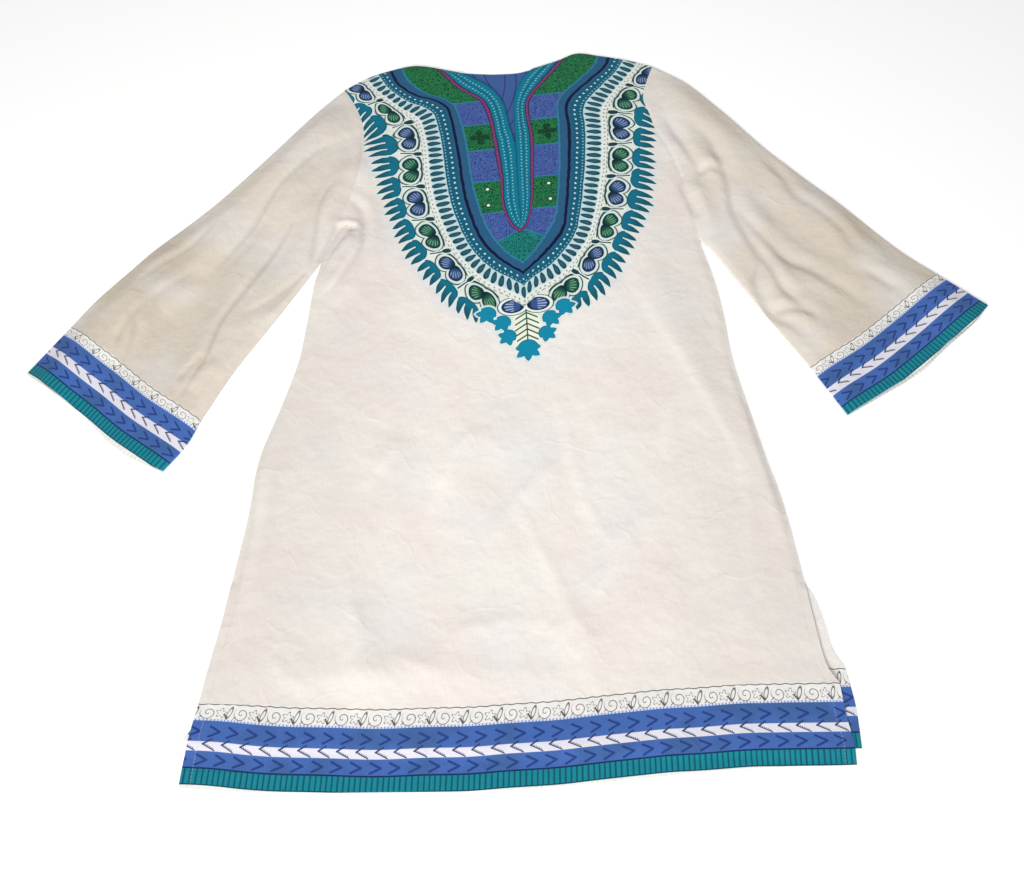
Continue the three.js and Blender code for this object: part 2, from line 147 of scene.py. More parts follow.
# ---- the largest folds, as in the solids: from, by way of, to, half the width and the height ----
FOLDS = [
    # left sleeve
    ((218, 80), (262, 215), (300, 391), 24, 4.4),
    ((296, 394), (330, 380), (392, 408), 20, 2.6),
    ((190, 166), (228, 190), (262, 226), 18, 2.8),
    ((300, 430), (345, 442), (362, 492), 20, 2.2),
    ((380, 284), (410, 340), (408, 388), 22, 2.4),
    ((228, 236), (226, 270), (238, 330), 16, 3),
    # right sleeve
    ((-190, 205), (-240, 236), (-246, 350), 20, 7),
    ((-304, 346), (-340, 460), (-364, 550), 22, 8),
    ((-421, 340), (-446, 400), (-447, 510), 20, 6),
    ((-375, 388), (-436, 430), (-450, 482), 18, 4),
    ((-256, 130), (-285, 240), (-300, 330), 24, 5),
    # body
    ((-191, 310), (-200, 370), (-226, 425), 18, 5),
    ((147, 350), (185, 470), (225, 612), 24, 3),
    ((-128, 600), (-136, 625), (-152, 646), 20, 1.6),
    ((-58, 600), (-70, 640), (-86, 668), 22, 1.6),
    ((40, 628), (24, 654), (4, 678), 20, 1.6),
    ((40, 794), (58, 812), (68, 838), 20, 1.6),
    ((-156, 780), (-158, 835), (-130, 880), 20, 2),
    ((-70, 824), (-27, 806), (16, 824), 18, 1.6),
    ((162, 742), (146, 780), (126, 810), 20, 1.6),
    ((-240, 856), (-90, 846), (10, 856), 18, 2.2),
    ((-258, 600), (-262, 700), (-274, 800), 18, 2),
    ((250, 560), (262, 660), (276, 740), 18, 2),
]
FOLD_STEPS = 20
FOLD_END = 0.3  # share of a fold's length over which each end dies away

# ---- finer creases: height, half the width to the right and left of travel, and the points ----
CREASES = [
    # right sleeve
    (-2.2, 5, 12, [
        (-212, 160), (-240, 181), (-255, 194), (-283, 233), (-299, 258), (-322, 314), (-365, 391),
    ]),
    (-2.6, 6, 14, [(-274, 306), (-297, 365), (-320, 417), (-338, 456), (-348, 500), (-368, 555)]),
    (-2.0, 6, 12, [(-366, 310), (-390, 349), (-416, 376), (-440, 406)]),
    (-1.4, 5, 9, [(-379, 383), (-409, 413), (-423, 431)]),
    (-1.6, 5, 9, [(-423, 431), (-437, 449), (-451, 480), (-452, 490)]),
    (-1.2, 5, 8, [(-437, 449), (-436, 469), (-441, 500), (-447, 513)]),
    (-1.6, 5, 9, [(-348, 500), (-376, 533)]),
    (-1.4, 5, 9, [(-245, 376), (-266, 402), (-289, 427), (-316, 449)]),
    (-1.6, 5, 9, [(-222, 233), (-236, 254), (-244, 286), (-245, 322), (-247, 369)]),
    (1.6, 7, 7, [(-212, 163), (-204, 220)]),
    # loop under the right arm
    (-1.6, 5, 8, [(-216, 266), (-196, 282), (-189, 314), (-188, 346), (-200, 376), (-215, 406), (-229, 420)]),
    (-2.4, 4, 5, [(-220, 317), (-209, 313), (-198, 317)]),
    (-1.4, 4, 6, [(-214, 322), (-227, 346), (-235, 372)]),
    # left sleeve
    (-2.0, 6, 14, [(228, 145), (246, 167), (258, 207), (263, 233), (267, 294), (278, 326), (287, 357)]),
    (-1.7, 6, 12, [(287, 357), (286, 372), (279, 395), (284, 420), (293, 442), (314, 459), (327, 469)]),
    (-1.6, 5, 9, [(196, 131), (213, 172), (223, 198), (230, 224), (228, 237)]),
    (-1.4, 5, 8, [(230, 228), (244, 220), (259, 224)]),
    (-1.7, 6, 12, [(268, 282), (299, 334), (322, 365), (344, 376), (370, 398), (403, 427)]),
    (-1.4, 5, 9, [(276, 322), (297, 369), (310, 406), (332, 434)]),
    (-1.4, 5, 9, [(296, 442), (317, 438), (340, 442), (344, 452)]),
    (-1.4, 6, 10, [(310, 198), (335, 233), (346, 262), (370, 286), (395, 322), (403, 346), (414, 353)]),
    (-1.4, 5, 9, [(412, 380), (430, 395), (445, 409)]),
    # body
    (-1.6, 5, 9, [(218, 224), (207, 241), (211, 262), (216, 278), (223, 302)]),
    (-2.0, 6, 10, [(-206, 312), (-212, 314), (-230, 349), (-237, 378)]),
    (2.0, 8, 8, [(-194, 310), (-189, 334), (-206, 376), (-229, 420)]),
    (1.6, 6, 12, [(144, 413), (174, 476), (211, 562), (232, 611), (237, 664), (235, 735)]),
    (1.4, 7, 7, [(174, 543), (158, 605), (154, 623)]),
    (1.5, 6, 8, [(-25, 611), (-41, 599), (-57, 605), (-77, 652), (-91, 697)]),
    (1.2, 7, 7, [(-3, 675), (22, 730), (45, 782), (68, 826)]),
    (1.2, 7, 7, [(39, 635), (2, 675), (-29, 719)]),
    (1.0, 7, 7, [(114, 708), (75, 782)]),
    (1.0, 7, 7, [(246, 751), (203, 816)]),
    (1.2, 7, 7, [(-171, 772), (-152, 821), (-166, 836)]),
    (1.0, 7, 7, [(-242, 831), (-215, 859), (-186, 873)]),
    (1.0, 7, 7, [(-118, 836), (-79, 850)]),
    (1.2, 7, 7, [(-127, 605), (-146, 641), (-165, 664)]),
    (1.0, 7, 7, [(-66, 816), (1, 802), (45, 816)]),
    (1.0, 7, 7, [(46, 562), (69, 675), (93, 719), (125, 697)]),
    (-1.2, 5, 8, [(-253, 536), (-273, 641), (-272, 719), (-280, 802)]),
    (-1.2, 5, 8, [(244, 517), (262, 629), (274, 700)]),
]
CREASE_STEP = 6  # spacing of the points that stand for a crease's line
CREASE_END = 0.25
TROUGH_SHARE = 1.4  # depth of troughs and height of ridges, as shares of what their rows say
RIDGE_SHARE = 0.7
CREASE_LIP = 0.6


# ---- plan points and curves ----
def smoothstep(value, low, high):
    share = np.clip((value - low) / (high - low), 0, 1)
    return share * share * (3 - 2 * share)


def plan(rows):
    """Points in the frame's plan from (across, down)."""
    return np.array(rows, float) * (1, -1) + (0, LENGTH / 2)


def cross(a, b):
    return a[..., 0] * b[..., 1] - a[..., 1] * b[..., 0]


def unit(vectors):
    return vectors / np.linalg.norm(vectors, axis=1)[:, None]


def run_along(grid, axis):
    """Length from the first row (axis 0) or column (axis 1) of a grid to each of its points."""
    steps = np.linalg.norm(np.diff(grid, axis=axis), axis=2)
    return np.insert(np.cumsum(steps, axis=axis), 0, 0, axis=axis)


def smooth_line(points, steps_each=60):
    """A centripetal Catmull-Rom curve through points, finely divided."""
    knots = np.vstack([2 * points[0] - points[1], points, 2 * points[-1] - points[-2]])
    roots = np.sqrt(np.maximum(np.linalg.norm(np.diff(knots, axis=0), axis=1), LEAST_GAP))
    share = np.linspace(0, 1, steps_each, endpoint=False)[:, None]
    stretches = []
    for index in range(1, len(knots) - 2):
        p0, p1, p2, p3 = knots[index - 1:index + 3]
        gap0, gap1, gap2 = roots[index - 1:index + 2]
        start = ((p1 - p0) / gap0 - (p2 - p0) / (gap0 + gap1) + (p2 - p1) / gap1) * gap1
        end = ((p2 - p1) / gap1 - (p3 - p1) / (gap1 + gap2) + (p3 - p2) / gap2) * gap1
        square = -3 * p1 + 3 * p2 - 2 * start - end
        cube = 2 * p1 - 2 * p2 + start + end
        stretches.append(p1 + start * share + square * share ** 2 + cube * share ** 3)
    return np.vstack([*stretches, points[-1:]])


def at_shares(line, shares):
    """Points at shares of a finely divided line's length."""
    run = run_along(line[None], 1)[0]
    return np.column_stack([np.interp(shares * run[-1], run, line[:, axis]) for axis in range(2)])


def evenly(rows, steps):
    return at_shares(smooth_line(plan(rows)), np.linspace(0, 1, steps + 1))


def chain(*stretches):
    return np.vstack([stretches[0], *[points[1:] for points in stretches[1:]]])


def patch(bottom, top, first, last, over=None):
    """A grid of plan points between four edges, which share their corners: grid[row, column]."""
    up = np.linspace(0, 1, len(first))[:, None, None]
    over = (np.linspace(0, 1, len(bottom)) if over is None else over)[:, None]
    ruled = bottom * (1 - up) + top * up + first[:, None] * (1 - over) + last[:, None] * over
    ruled = ruled - bottom[0] * (1 - over) * (1 - up) - bottom[-1] * over * (1 - up)
    return ruled - top[0] * (1 - over) * up - top[-1] * over * up


# ---- places across the bands of the print round the neck, in millimetres out from the dark line ----
NECK_LINE = -64
PINK_LINE = -44
DARK_LINE = -2
DROP_LINE = 37  # where the drops end
FRINGE_LINE = 75  # where the fringe starts
TIP_LINE = 106  # where its fingers end
YOKE_REACH = 140  # how far out the places are worked out
PRINT_REACH = 128  # how far out the print's own material goes
RUN_PLACES = (-50, 7, 15, 28, 42, 60, 92)  # places where lengths along the bands are kept

# Each line goes from the middle line up to the shoulder and a little past it, as (across, down).
YOKE = {
    LEFT: {
        NECK_LINE: [*NECK_SLIT, *NECK_EDGE[LEFT][1:], (34, 22)],
        PINK_LINE: [
            (4, 318), (12, 306), (18, 271), (19, 216), (19, 159), (14, 123), (14, 94), (29, 65), (54, 27),
            (66, 4),
        ],
        DARK_LINE: [
            (6.6, 383), (33, 353), (55, 319), (61, 281), (65, 231), (68, 178), (68, 139), (66, 103),
            (76, 82), (100, 53), (121, 27), (126, 14), (131, -8),
        ],
        FRINGE_LINE: [
            (9, 478), (37, 439), (65, 418), (87, 389), (112, 343), (131, 288), (143, 231), (149, 178),
            (156, 111), (164, 88), (182, 58), (200, 38), (206, 20),
        ],
        TIP_LINE: [
            (12.7, 501), (31, 479), (46, 464), (67, 436), (85, 430), (112, 399), (135, 356), (147, 326),
            (167, 278), (174, 234), (178, 178), (182, 151), (188, 128), (202, 100), (222, 72), (232, 50),
        ],
    },
    RIGHT: {
        NECK_LINE: [*NECK_SLIT, *NECK_EDGE[RIGHT][1:], (-108, 24)],
        PINK_LINE: [
            (4, 318), (-6, 309), (-17, 281), (-20, 234), (-29, 166), (-35, 127), (-47, 94), (-77, 70),
            (-103, 36), (-118, 12),
        ],
        DARK_LINE: [
            (6.6, 383), (-22, 360), (-43, 333), (-57, 295), (-67, 253), (-73, 208), (-79, 170), (-87, 127),
            (-93, 107), (-108, 94), (-135, 84), (-161, 63), (-172, 38), (-180, 18),
        ],
        FRINGE_LINE: [
            (9, 478), (-20, 450), (-45, 431), (-69, 407), (-89, 382), (-106, 353), (-120, 326), (-136, 285),
            (-148, 231), (-154, 170), (-170, 135), (-188, 112), (-212, 92), (-236, 66), (-248, 48),
        ],
        TIP_LINE: [
            (12.7, 501), (-16, 479), (-44, 457), (-80, 432), (-107, 396), (-136, 356), (-150, 322),
            (-163, 288), (-176, 249), (-184, 216), (-195, 186), (-202, 170), (-206, 151), (-218, 125),
            (-240, 108), (-262, 85), (-275, 66),
        ],
    },
}
YOKE_FOOT = 560  # how far down the places across the bands are worked out
LEAST_CELL = 0.05  # least area of a cell between rays, in square millimetres
RAYS = 421
RAY_SPREAD = 0.055  # share of a line over which its direction is averaged
RAY_SMOOTH = 16  # rays to each side that a ray's place is averaged with
RAY_NEAR = 0.15  # how much a ray prefers the nearer of two crossings
TIP_WAY = (0.03, -1.0)  # the way that the rays point at the tip
TIP_TURN = 0.26  # share of the way up over which the rays turn from straight down to square
TIP_DROPS = 0.38  # share of the way from the dark line to the fringe that the drops take at the tip
SIDE_DROPS = 0.506  # and elsewhere
TIP_SHARE = 0.14


def square_rays(line, side):
    """Feet and directions of rays that cross the bands squarely and point straight down at the tip."""
    shares = np.linspace(0, 1, RAYS)
    after = at_shares(line, np.clip(shares + RAY_SPREAD, 0, 1))
    ahead = after - at_shares(line, np.clip(shares - RAY_SPREAD, 0, 1))
    out = unit(np.column_stack([ahead[:, 1], -ahead[:, 0]]) * side)
    turn = smoothstep(shares, 0, TIP_TURN)[:, None]
    return at_shares(line, shares), unit(out * turn + np.array(TIP_WAY) * (1 - turn))


def meet(line, feet, ways):
    """Points where the rays cross a line, in order along it and evened out."""
    steps = 4 * RAYS
    spots = at_shares(line, np.linspace(0, 1, steps + 1))
    shares = np.zeros(RAYS)
    for ray in range(1, RAYS):
        offset = spots - feet[ray]
        aside = np.abs(cross(offset, ways[ray]))
        shares[ray] = np.argmin(aside + RAY_NEAR * np.hypot(offset[:, 0], offset[:, 1])) / steps
    shares = np.maximum.accumulate(shares)
    before = 2 * shares[0] - shares[RAY_SMOOTH:0:-1]
    after = 2 * shares[-1] - shares[-2:-RAY_SMOOTH - 2:-1]
    window = np.ones(2 * RAY_SMOOTH + 1) / (2 * RAY_SMOOTH + 1)
    even = np.convolve(np.concatenate([before, shares, after]), window, "valid")
    return at_shares(line, np.clip(even, 0, 1))


def yoke_grid(lines, side):
    """Plan points by ray (rows) and place across the bands (columns), and lengths along some bands."""
    shares = np.linspace(0, 1, RAYS)
    drawn = {place: smooth_line(plan(rows)) for place, rows in lines.items()}
    known = {place: at_shares(line, shares) for place, line in drawn.items()}
    feet, ways = square_rays((known[DARK_LINE] + known[FRINGE_LINE]) / 2, side)
    for place in (DARK_LINE, FRINGE_LINE, TIP_LINE):
        known[place] = meet(drawn[place], feet, ways)
    dark, fringe, tips = known[DARK_LINE], known[FRINGE_LINE], known[TIP_LINE]
    drops = TIP_DROPS + (SIDE_DROPS - TIP_DROPS) * smoothstep(shares, 0, TIP_SHARE)
    known[DROP_LINE] = dark + (fringe - dark) * drops[:, None]
    known[YOKE_REACH] = tips + (tips - fringe) * (YOKE_REACH - TIP_LINE) / (TIP_LINE - FRINGE_LINE)
    keys = sorted(known)
    places = np.arange(keys[0], YOKE_REACH + 1)
    stack = np.array([known[key] for key in keys])
    grid = np.empty((RAYS, len(places), 2))
    for row in range(RAYS):
        for axis in range(2):
            grid[row, :, axis] = np.interp(places, keys, stack[:, row, axis])
    return grid, run_along(grid[:, [place - keys[0] for place in RUN_PLACES]], 0), places


def beside_middle(points):
    """How far each plan point is from the middle line, positive towards the left side."""
    line = chain(evenly(FRONT_CENTRE, 60), evenly(NECK_SLIT, SLIT_ROWS), plan(NECK_MIDDLE))
    return points[:, 0] - np.interp(points[:, 1], line[:, 1], line[:, 0])


def yoke_attribute(points):
    """Place across the bands, distance from the middle line and lengths along the bands."""
    aside = beside_middle(points)
    places_out = np.full(len(points), float(YOKE_REACH))
    runs_along = np.zeros((len(points), len(RUN_PLACES)))
    around = points[:, 1] > LENGTH / 2 - YOKE_FOOT
    for side, here in ((LEFT, aside >= 0), (RIGHT, aside < 0)):
        grid, runs, places = yoke_grid(YOKE[side], side)
        tree = kdtree.KDTree(grid.shape[0] * grid.shape[1])
        for index, (x, y) in enumerate(grid.reshape(-1, 2)):
            tree.insert((x, y, 0), index)
        tree.balance()
        chosen = np.flatnonzero(here & around)
        found = np.array([tree.find((x, y, 0))[1] for x, y in points[chosen]])
        row, column = np.divmod(found, grid.shape[1])
        row = np.clip(row, 1, grid.shape[0] - 2)
        column = np.clip(column, 1, grid.shape[1] - 2)
        along = (grid[row + 1, column] - grid[row - 1, column]) / 2
        out = (grid[row, column + 1] - grid[row, column - 1]) / 2
        offset = points[chosen] - grid[row, column]
        size = cross(along, out)
        size = np.where(np.abs(size) < LEAST_CELL, -side * LEAST_CELL, size)
        up = np.clip(cross(offset, out) / size, -2, 2)
        places_out[chosen] = places[column] + np.clip(cross(along, offset) / size, -2, 2)
        growth = (runs[row + 1] - runs[row - 1]) / 2
        runs_along[chosen] = runs[row] + growth * up[:, None]
    runs_along[np.abs(aside) < 0.01] = 0
    return np.column_stack([places_out, aside, runs_along])


# ---- height of the upper layer above where it would lie flat ----
LIP_PLACE = 1.7  # distance of a lip from its crease, in half widths
TROUGH_MARK_WIDE = 3.0  # half width of the painted shade along a trough, and of the painted highlight along a ridge
RIDGE_MARK_WIDE = 6.0
FULL_MARK = 2.2  # height in a trough's row that makes its painted shade fully dark
# below 0: a painted highlight along a ridge
RIDGE_MARK = -0.15
WAVES = [(130, 1.6), (46, 0.7), (20, 0.28)]  # low unevenness all over: wavelength and height


def nearest_on_line(points, line):
    """Distance to a line, share of its length and side (positive to the right), for each point."""
    nearest = np.full(len(points), np.inf)
    share, side = np.zeros((2, len(points)))
    steps = len(line) - 1
    for step in range(steps):
        along = line[step + 1] - line[step]
        offset = points - line[step]
        t = np.clip(offset @ along / (along @ along), 0, 1)
        distance = np.linalg.norm(offset - t[:, None] * along, axis=1)
        closer = distance < nearest
        nearest[closer] = distance[closer]
        share[closer] = (step + t[closer]) / steps
        side[closer] = cross(offset, along)[closer]
    return nearest, share, side


def distance_from(points, rows):
    return nearest_on_line(points, smooth_line(plan(rows), 8))[0]


def bezier(start, by, end):
    t = np.linspace(0, 1, FOLD_STEPS + 1)[:, None]
    return start * (1 - t) ** 2 + 2 * by * t * (1 - t) + end * t ** 2


def crease_line(rows):
    line = smooth_line(plan(rows), 12)
    steps = max(3, round(run_along(line[None], 1)[0, -1] / CREASE_STEP))
    return at_shares(line, np.linspace(0, 1, steps + 1))


def ridge(points, line, left, right, high, end, lip):
    """Height of one soft ridge or, with high < 0, trough at each point. The lip is the share of the
    height that the cloth rises by, beside a trough."""
    height = np.zeros(len(points))
    reach = 4 * max(left, right)
    near = np.all((points > line.min(0) - reach) & (points < line.max(0) + reach), axis=1)
    if near.any():
        distance, share, side = nearest_on_line(points[near], line)
        swell = smoothstep(np.minimum(share, 1 - share), -end / 2, end)
        shape = np.exp(-((distance / np.where(side > 0, right, left)) ** 2))
        shape = shape - lip * (side < 0) * np.exp(-((distance / left - LIP_PLACE) ** 2))
        height[near] = high * swell * shape
    return height


def painted_crease_shading(points):
    """Painted shade along the sharp creases at each plan point, 0 to 1; ridges count less than 0, as painted
    highlight.
    """
    marks = np.zeros(len(points))
    for high, _, _, rows in CREASES:
        wide = TROUGH_MARK_WIDE if high < 0 else RIDGE_MARK_WIDE
        strength = -high / FULL_MARK if high < 0 else RIDGE_MARK
        mark = ridge(points, crease_line(rows), wide, wide, strength, CREASE_END, 0.0)
        marks = np.where(np.abs(mark) > np.abs(marks), mark, marks)
    return marks


def crease_attribute(points):
    """The painted shade of the creases, and the distance to the edge of a side slit, above the hem borders.
    """
    gaps = [distance_from(points, FRONT_SLIT[side] + SIDE[side][:1]) for side in (LEFT, RIGHT)]
    return np.column_stack([painted_crease_shading(points), np.minimum(*gaps), np.zeros(len(points))])


def all_ridges():
    """What the ridge function takes for every fold and crease."""
    ridges = []
    for *corners, wide, high in FOLDS:
        ridges.append((bezier(*plan(corners)), wide, wide, high, FOLD_END, 0.0))
    for high, right, left, rows in CREASES:
        share, lip = (TROUGH_SHARE, CREASE_LIP) if high < 0 else (RIDGE_SHARE, 0.0)
        ridges.append((crease_line(rows), left, right, high * share, CREASE_END, lip))
    return ridges


RIDGES = all_ridges()


def waviness(points, seed):
    height = np.zeros(len(points))
    for wavelength, high in WAVES:
        height += high * np.array([noise.noise(Vector((x, y, seed))) for x, y in points / wavelength])
    return height


def lift(points):
    flat = points.reshape(-1, 2)
    height = sum(ridge(flat, *row) for row in RIDGES) + waviness(flat, 3.7)
    return height.reshape(points.shape[:-1])


# ---- meshes ----
SHARP_TURN = 50  # degrees between faces from which an edge is shaded sharp


def new_piece(name, node, corners, faces, attributes):
    mesh = bpy.data.meshes.new(name)
    mesh.from_pydata((corners * MILLIMETRE).tolist(), [], faces)
    for labels, values in attributes.items():
        for number, label in enumerate(labels.split()):
            layer = mesh.attributes.new(label, "FLOAT_VECTOR", "POINT")
            columns = np.asarray(values, np.float32)[:, 3 * number:3 * number + 3]
            layer.data.foreach_set("vector", np.ascontiguousarray(columns).ravel())
    mesh.polygons.foreach_set("use_smooth", [True] * len(mesh.polygons))
    mesh.validate()
    mesh.set_sharp_from_angle(angle=math.radians(SHARP_TURN))
    piece = bpy.data.objects.new(name, mesh)
    bpy.context.scene.collection.objects.link(piece)
    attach(piece, "root")
    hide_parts(node)
    return piece


def area_sign(grid):
    return 1 if cross(grid[0, -1] - grid[0, 0], grid[-1, 0] - grid[0, 0]) > 0 else -1


def sheet_faces(ids, sign):
    a, b, c, d = ids[:-1, :-1], ids[:-1, 1:], ids[1:, 1:], ids[1:, :-1]
    corners = (a, b, c, d) if sign > 0 else (a, d, c, b)
    return np.stack([part.ravel() for part in corners], axis=1)


def merge(grids):
    """All points of the grids, where each different one comes first, and each grid as their numbers."""
    flat = np.vstack([grid.reshape(-1, 2) for grid in grids])
    _, first, numbers = np.unique(flat.round(2), axis=0, return_index=True, return_inverse=True)
    ends = np.cumsum([grid[..., 0].size for grid in grids])
    named = [ids.reshape(grid.shape[:2]) for ids, grid in zip(np.split(numbers.ravel(), ends), grids)]
    return flat, first, named


def rim_faces(named, under_quads, below):
    """Triangles from the underside's outer edges up to the face's, which have twice as many points."""
    middles = {}
    for ids in named:
        for lines in (ids[::2], ids[:, ::2].T):
            steps = zip(lines[:, :-2:2].ravel(), lines[:, 1::2].ravel(), lines[:, 2::2].ravel())
            for start, middle, end in steps:
                middles[start, end] = middles[end, start] = int(middle)
    directed = {edge for quad in under_quads.tolist() for edge in zip(quad, quad[1:] + quad[:1])}
    faces = []
    for start, end in sorted(directed):
        if (end, start) not in directed:
            middle = middles[start, end]
            low_start, low_end = int(below[start]), int(below[end])
            faces += [[low_start, low_end, middle], [low_start, middle, start], [low_end, end, middle]]
    return faces


def shell(name, node, grids, face_height, attributes):
    """A closed thin shell over plan grids, which share points where they meet. The underside has half
    the rows and columns of the face."""
    flat, first, named = merge(grids)
    signs = [area_sign(grid) for grid in grids]
    face_quads = np.vstack([sheet_faces(ids, sign) for ids, sign in zip(named, signs)])
    under_quads = np.vstack([sheet_faces(ids[::2, ::2], sign) for ids, sign in zip(named, signs)])
    points = flat[first]
    top = face_height(points)
    used = np.unique(under_quads)
    below = np.full(len(points), -1)
    below[used] = len(points) + np.arange(len(used))
    high = np.column_stack([points, top])
    low = np.column_stack([points[used], np.maximum(top[used] - CLOTH, 0)])
    faces = face_quads.tolist() + below[under_quads[:, ::-1]].tolist()
    faces += rim_faces(named, under_quads, below)
    attributes = {"plan": lambda spots: np.column_stack([spots, np.zeros(len(spots))]), **attributes}
    values = {label: value_at(flat)[first] for label, value_at in attributes.items()}
    values = {label: np.vstack([value, value[used]]) for label, value in values.items()}
    return new_piece(name, node, np.vstack([high, low]), faces, values)


# ---- the body ----
SLIT_GAP = 0.3  # between the two edges of the neck slit
SEAM_ROLL = 9  # how far in from a sewn edge the upper layer bends down
SEAM_DROP = 1.5
GROOVE_WIDE = 3.0  # the dip along an armhole seam
GROOVE_DEEP = 0.9
LAYER_GAP = 0.1  # least distance between two layers
BACK_WAVE = 0.15  # how uneven the back is, beside the front
HEM_FALL = (-2, 14)  # the front border sinks to the floor between these distances past the back's hem


def half_seam(rows, columns, side):
    """The half of a seam on one side of the middle line, from the middle outwards."""
    whole = evenly(rows, 2 * columns)
    return whole[columns:] if side == LEFT else whole[columns::-1]


def front_half(side):
    apart = chain(evenly(NECK_SLIT, SLIT_ROWS), evenly(NECK_EDGE[side], NECK_ROWS))
    apart[1:-1, 0] += side * SLIT_GAP / 2
    seam = half_seam(FRONT_BORDER_SEAM, PANEL_COLUMNS, side)
    below = SIDE_ROWS + ARMHOLE_ROWS - SLIT_ROWS - NECK_ROWS
    middle = chain(evenly(FRONT_CENTRE, below), apart)
    middle[0] = seam[0]
    edge = chain(evenly(FRONT_SLIT[side] + SIDE[side], SIDE_ROWS), evenly(ARMHOLE[side], ARMHOLE_ROWS))
    return patch(seam, evenly(SHOULDER[side], PANEL_COLUMNS), middle, edge)


def back_half(side):
    seam = half_seam(BACK_BORDER_SEAM, BACK_COLUMNS, side)
    shoulder = evenly(SHOULDER[side], BACK_COLUMNS - BACK_NECK_COLUMNS)
    middle = evenly(BACK_CENTRE, BACK_SIDE_ROWS + BACK_ARMHOLE_ROWS)
    middle[0] = seam[0]
    lower = evenly(BACK_SLIT[side] + SIDE[side], BACK_SIDE_ROWS)
    edge = chain(lower, evenly(ARMHOLE[side], BACK_ARMHOLE_ROWS))
    return patch(seam, chain(evenly(BACK_NECK[side], BACK_NECK_COLUMNS), shoulder), middle, edge)


def groove(points, armhole):
    return GROOVE_DEEP * np.exp(-((distance_from(points, armhole) / GROOVE_WIDE) ** 2))


def front_height(points):
    """The front's face bends down to the back at side seams and shoulders and dips at the armholes."""
    drops = [groove(points, rows) for rows in ARMHOLE.values()]
    for rows in (*SIDE.values(), *SHOULDER.values()):
        drops.append(SEAM_DROP * (1 - smoothstep(distance_from(points, rows), 0, SEAM_ROLL)))
    top = UPPER_TOP + lift(points) - np.maximum.reduce(drops)
    return np.maximum(top, BACK_TOP + CLOTH + LAYER_GAP)


def back_height(points):
    return BACK_TOP + BACK_WAVE * waviness(points, 9.1)


def make_front():
    attributes = {"yoke near_runs far_runs": yoke_attribute, "crease": crease_attribute}
    grids = [front_half(side) for side in (LEFT, RIGHT)]
    return shell("front_panel_cloth", "front_panel", grids, front_height, attributes)


def make_back():
    grids = [back_half(side) for side in (LEFT, RIGHT)]
    return shell("back_panel_cloth", "back_panel", grids, back_height, {})


# ---- hem borders ----
def band_attribute(grid):
    """Along the border and down from its seam, in millimetres, for each point of its grid."""
    along = run_along(grid[-1:], 1)
    down = run_along(grid[::-1], 0)[::-1]
    return np.stack([along - along[:, -1:] / 2 + 0 * down, down, 0 * down], axis=2)


def front_border_height(points):
    back_edge = smooth_line(plan(BACK_HEM), 20)
    beyond = np.interp(points[:, 0], back_edge[:, 0], back_edge[:, 1]) - points[:, 1]
    fall = smoothstep(beyond, *HEM_FALL) * (UPPER_TOP - BACK_TOP)
    return np.maximum(UPPER_TOP + lift(points) - fall, CLOTH + LAYER_GAP / 2)


def make_border(name, node, hem, seam, ends, columns, face_height):
    """A strip from its hem up to its seam."""
    first, last = (evenly(ends[side], BORDER_ROWS) for side in (RIGHT, LEFT))
    seam = evenly(seam, columns)
    first[-1], last[-1] = seam[0], seam[-1]
    grid = patch(evenly(hem, columns), seam, first, last)
    attributes = {"band": lambda spots: band_attribute(grid).reshape(-1, 3)}
    return shell(name, node, [grid], face_height, attributes)


# ---- sleeves and cuffs ----
EDGE_CROWD = 0.7  # how much closer the columns lie at a sleeve's folded edges
SLEEVE_EDGES = ((8.5, 32, 7), (2.6, 14, 5))  # upper and lower: how high, how soon and how round it rises
PUFF_FALL = 95  # distance from a folded edge where its rise has died away
PUFF_START = 0.12  # share of the sleeve over which the rise begins, from the armhole
PEEK_START = 0.6  # share of the cuff from which the under layer shows
INNER_GAP = 0.15  # least height inside a sleeve


def crowded():
    """Shares of a sleeve's width, closer together at its folded edges."""
    share = np.linspace(0, 1, SLEEVE_COLUMNS + 1)
    return share - EDGE_CROWD * np.sin(2 * math.pi * share) / (2 * math.pi)


def sleeve_grid(top_rows, end_rows, over_rows, under_rows, sections):
    top, end = (at_shares(smooth_line(plan(rows)), crowded()) for rows in (top_rows, end_rows))
    over, under = evenly(over_rows, sections), evenly(under_rows, sections)
    over[0], under[0], over[-1], under[-1] = top[0], top[-1], end[0], end[-1]
    return patch(top, end, over, under, crowded())


def sleeve_heights(grid, puff):
    """Height of the upper layer's face over a sleeve's grid, lowered to a nose at both folds."""
    from_over = run_along(grid, 1)
    distances = (from_over, from_over[:, -1:] - from_over)
    height = UPPER_TOP + lift(grid)
    for distance, (high, rise, _) in zip(distances, SLEEVE_EDGES):
        height += puff * high * smoothstep(distance, 0, rise) * (1 - smoothstep(distance, rise, PUFF_FALL))
    for distance, (_, _, nose) in zip(distances, SLEEVE_EDGES):
        share = np.clip(distance / nose, 0, 1)
        height = FOLD_EDGE + (height - FOLD_EDGE) * np.sqrt(np.clip(share * (2 - share), 0, 1))
    return np.maximum(height, FOLD_EDGE)


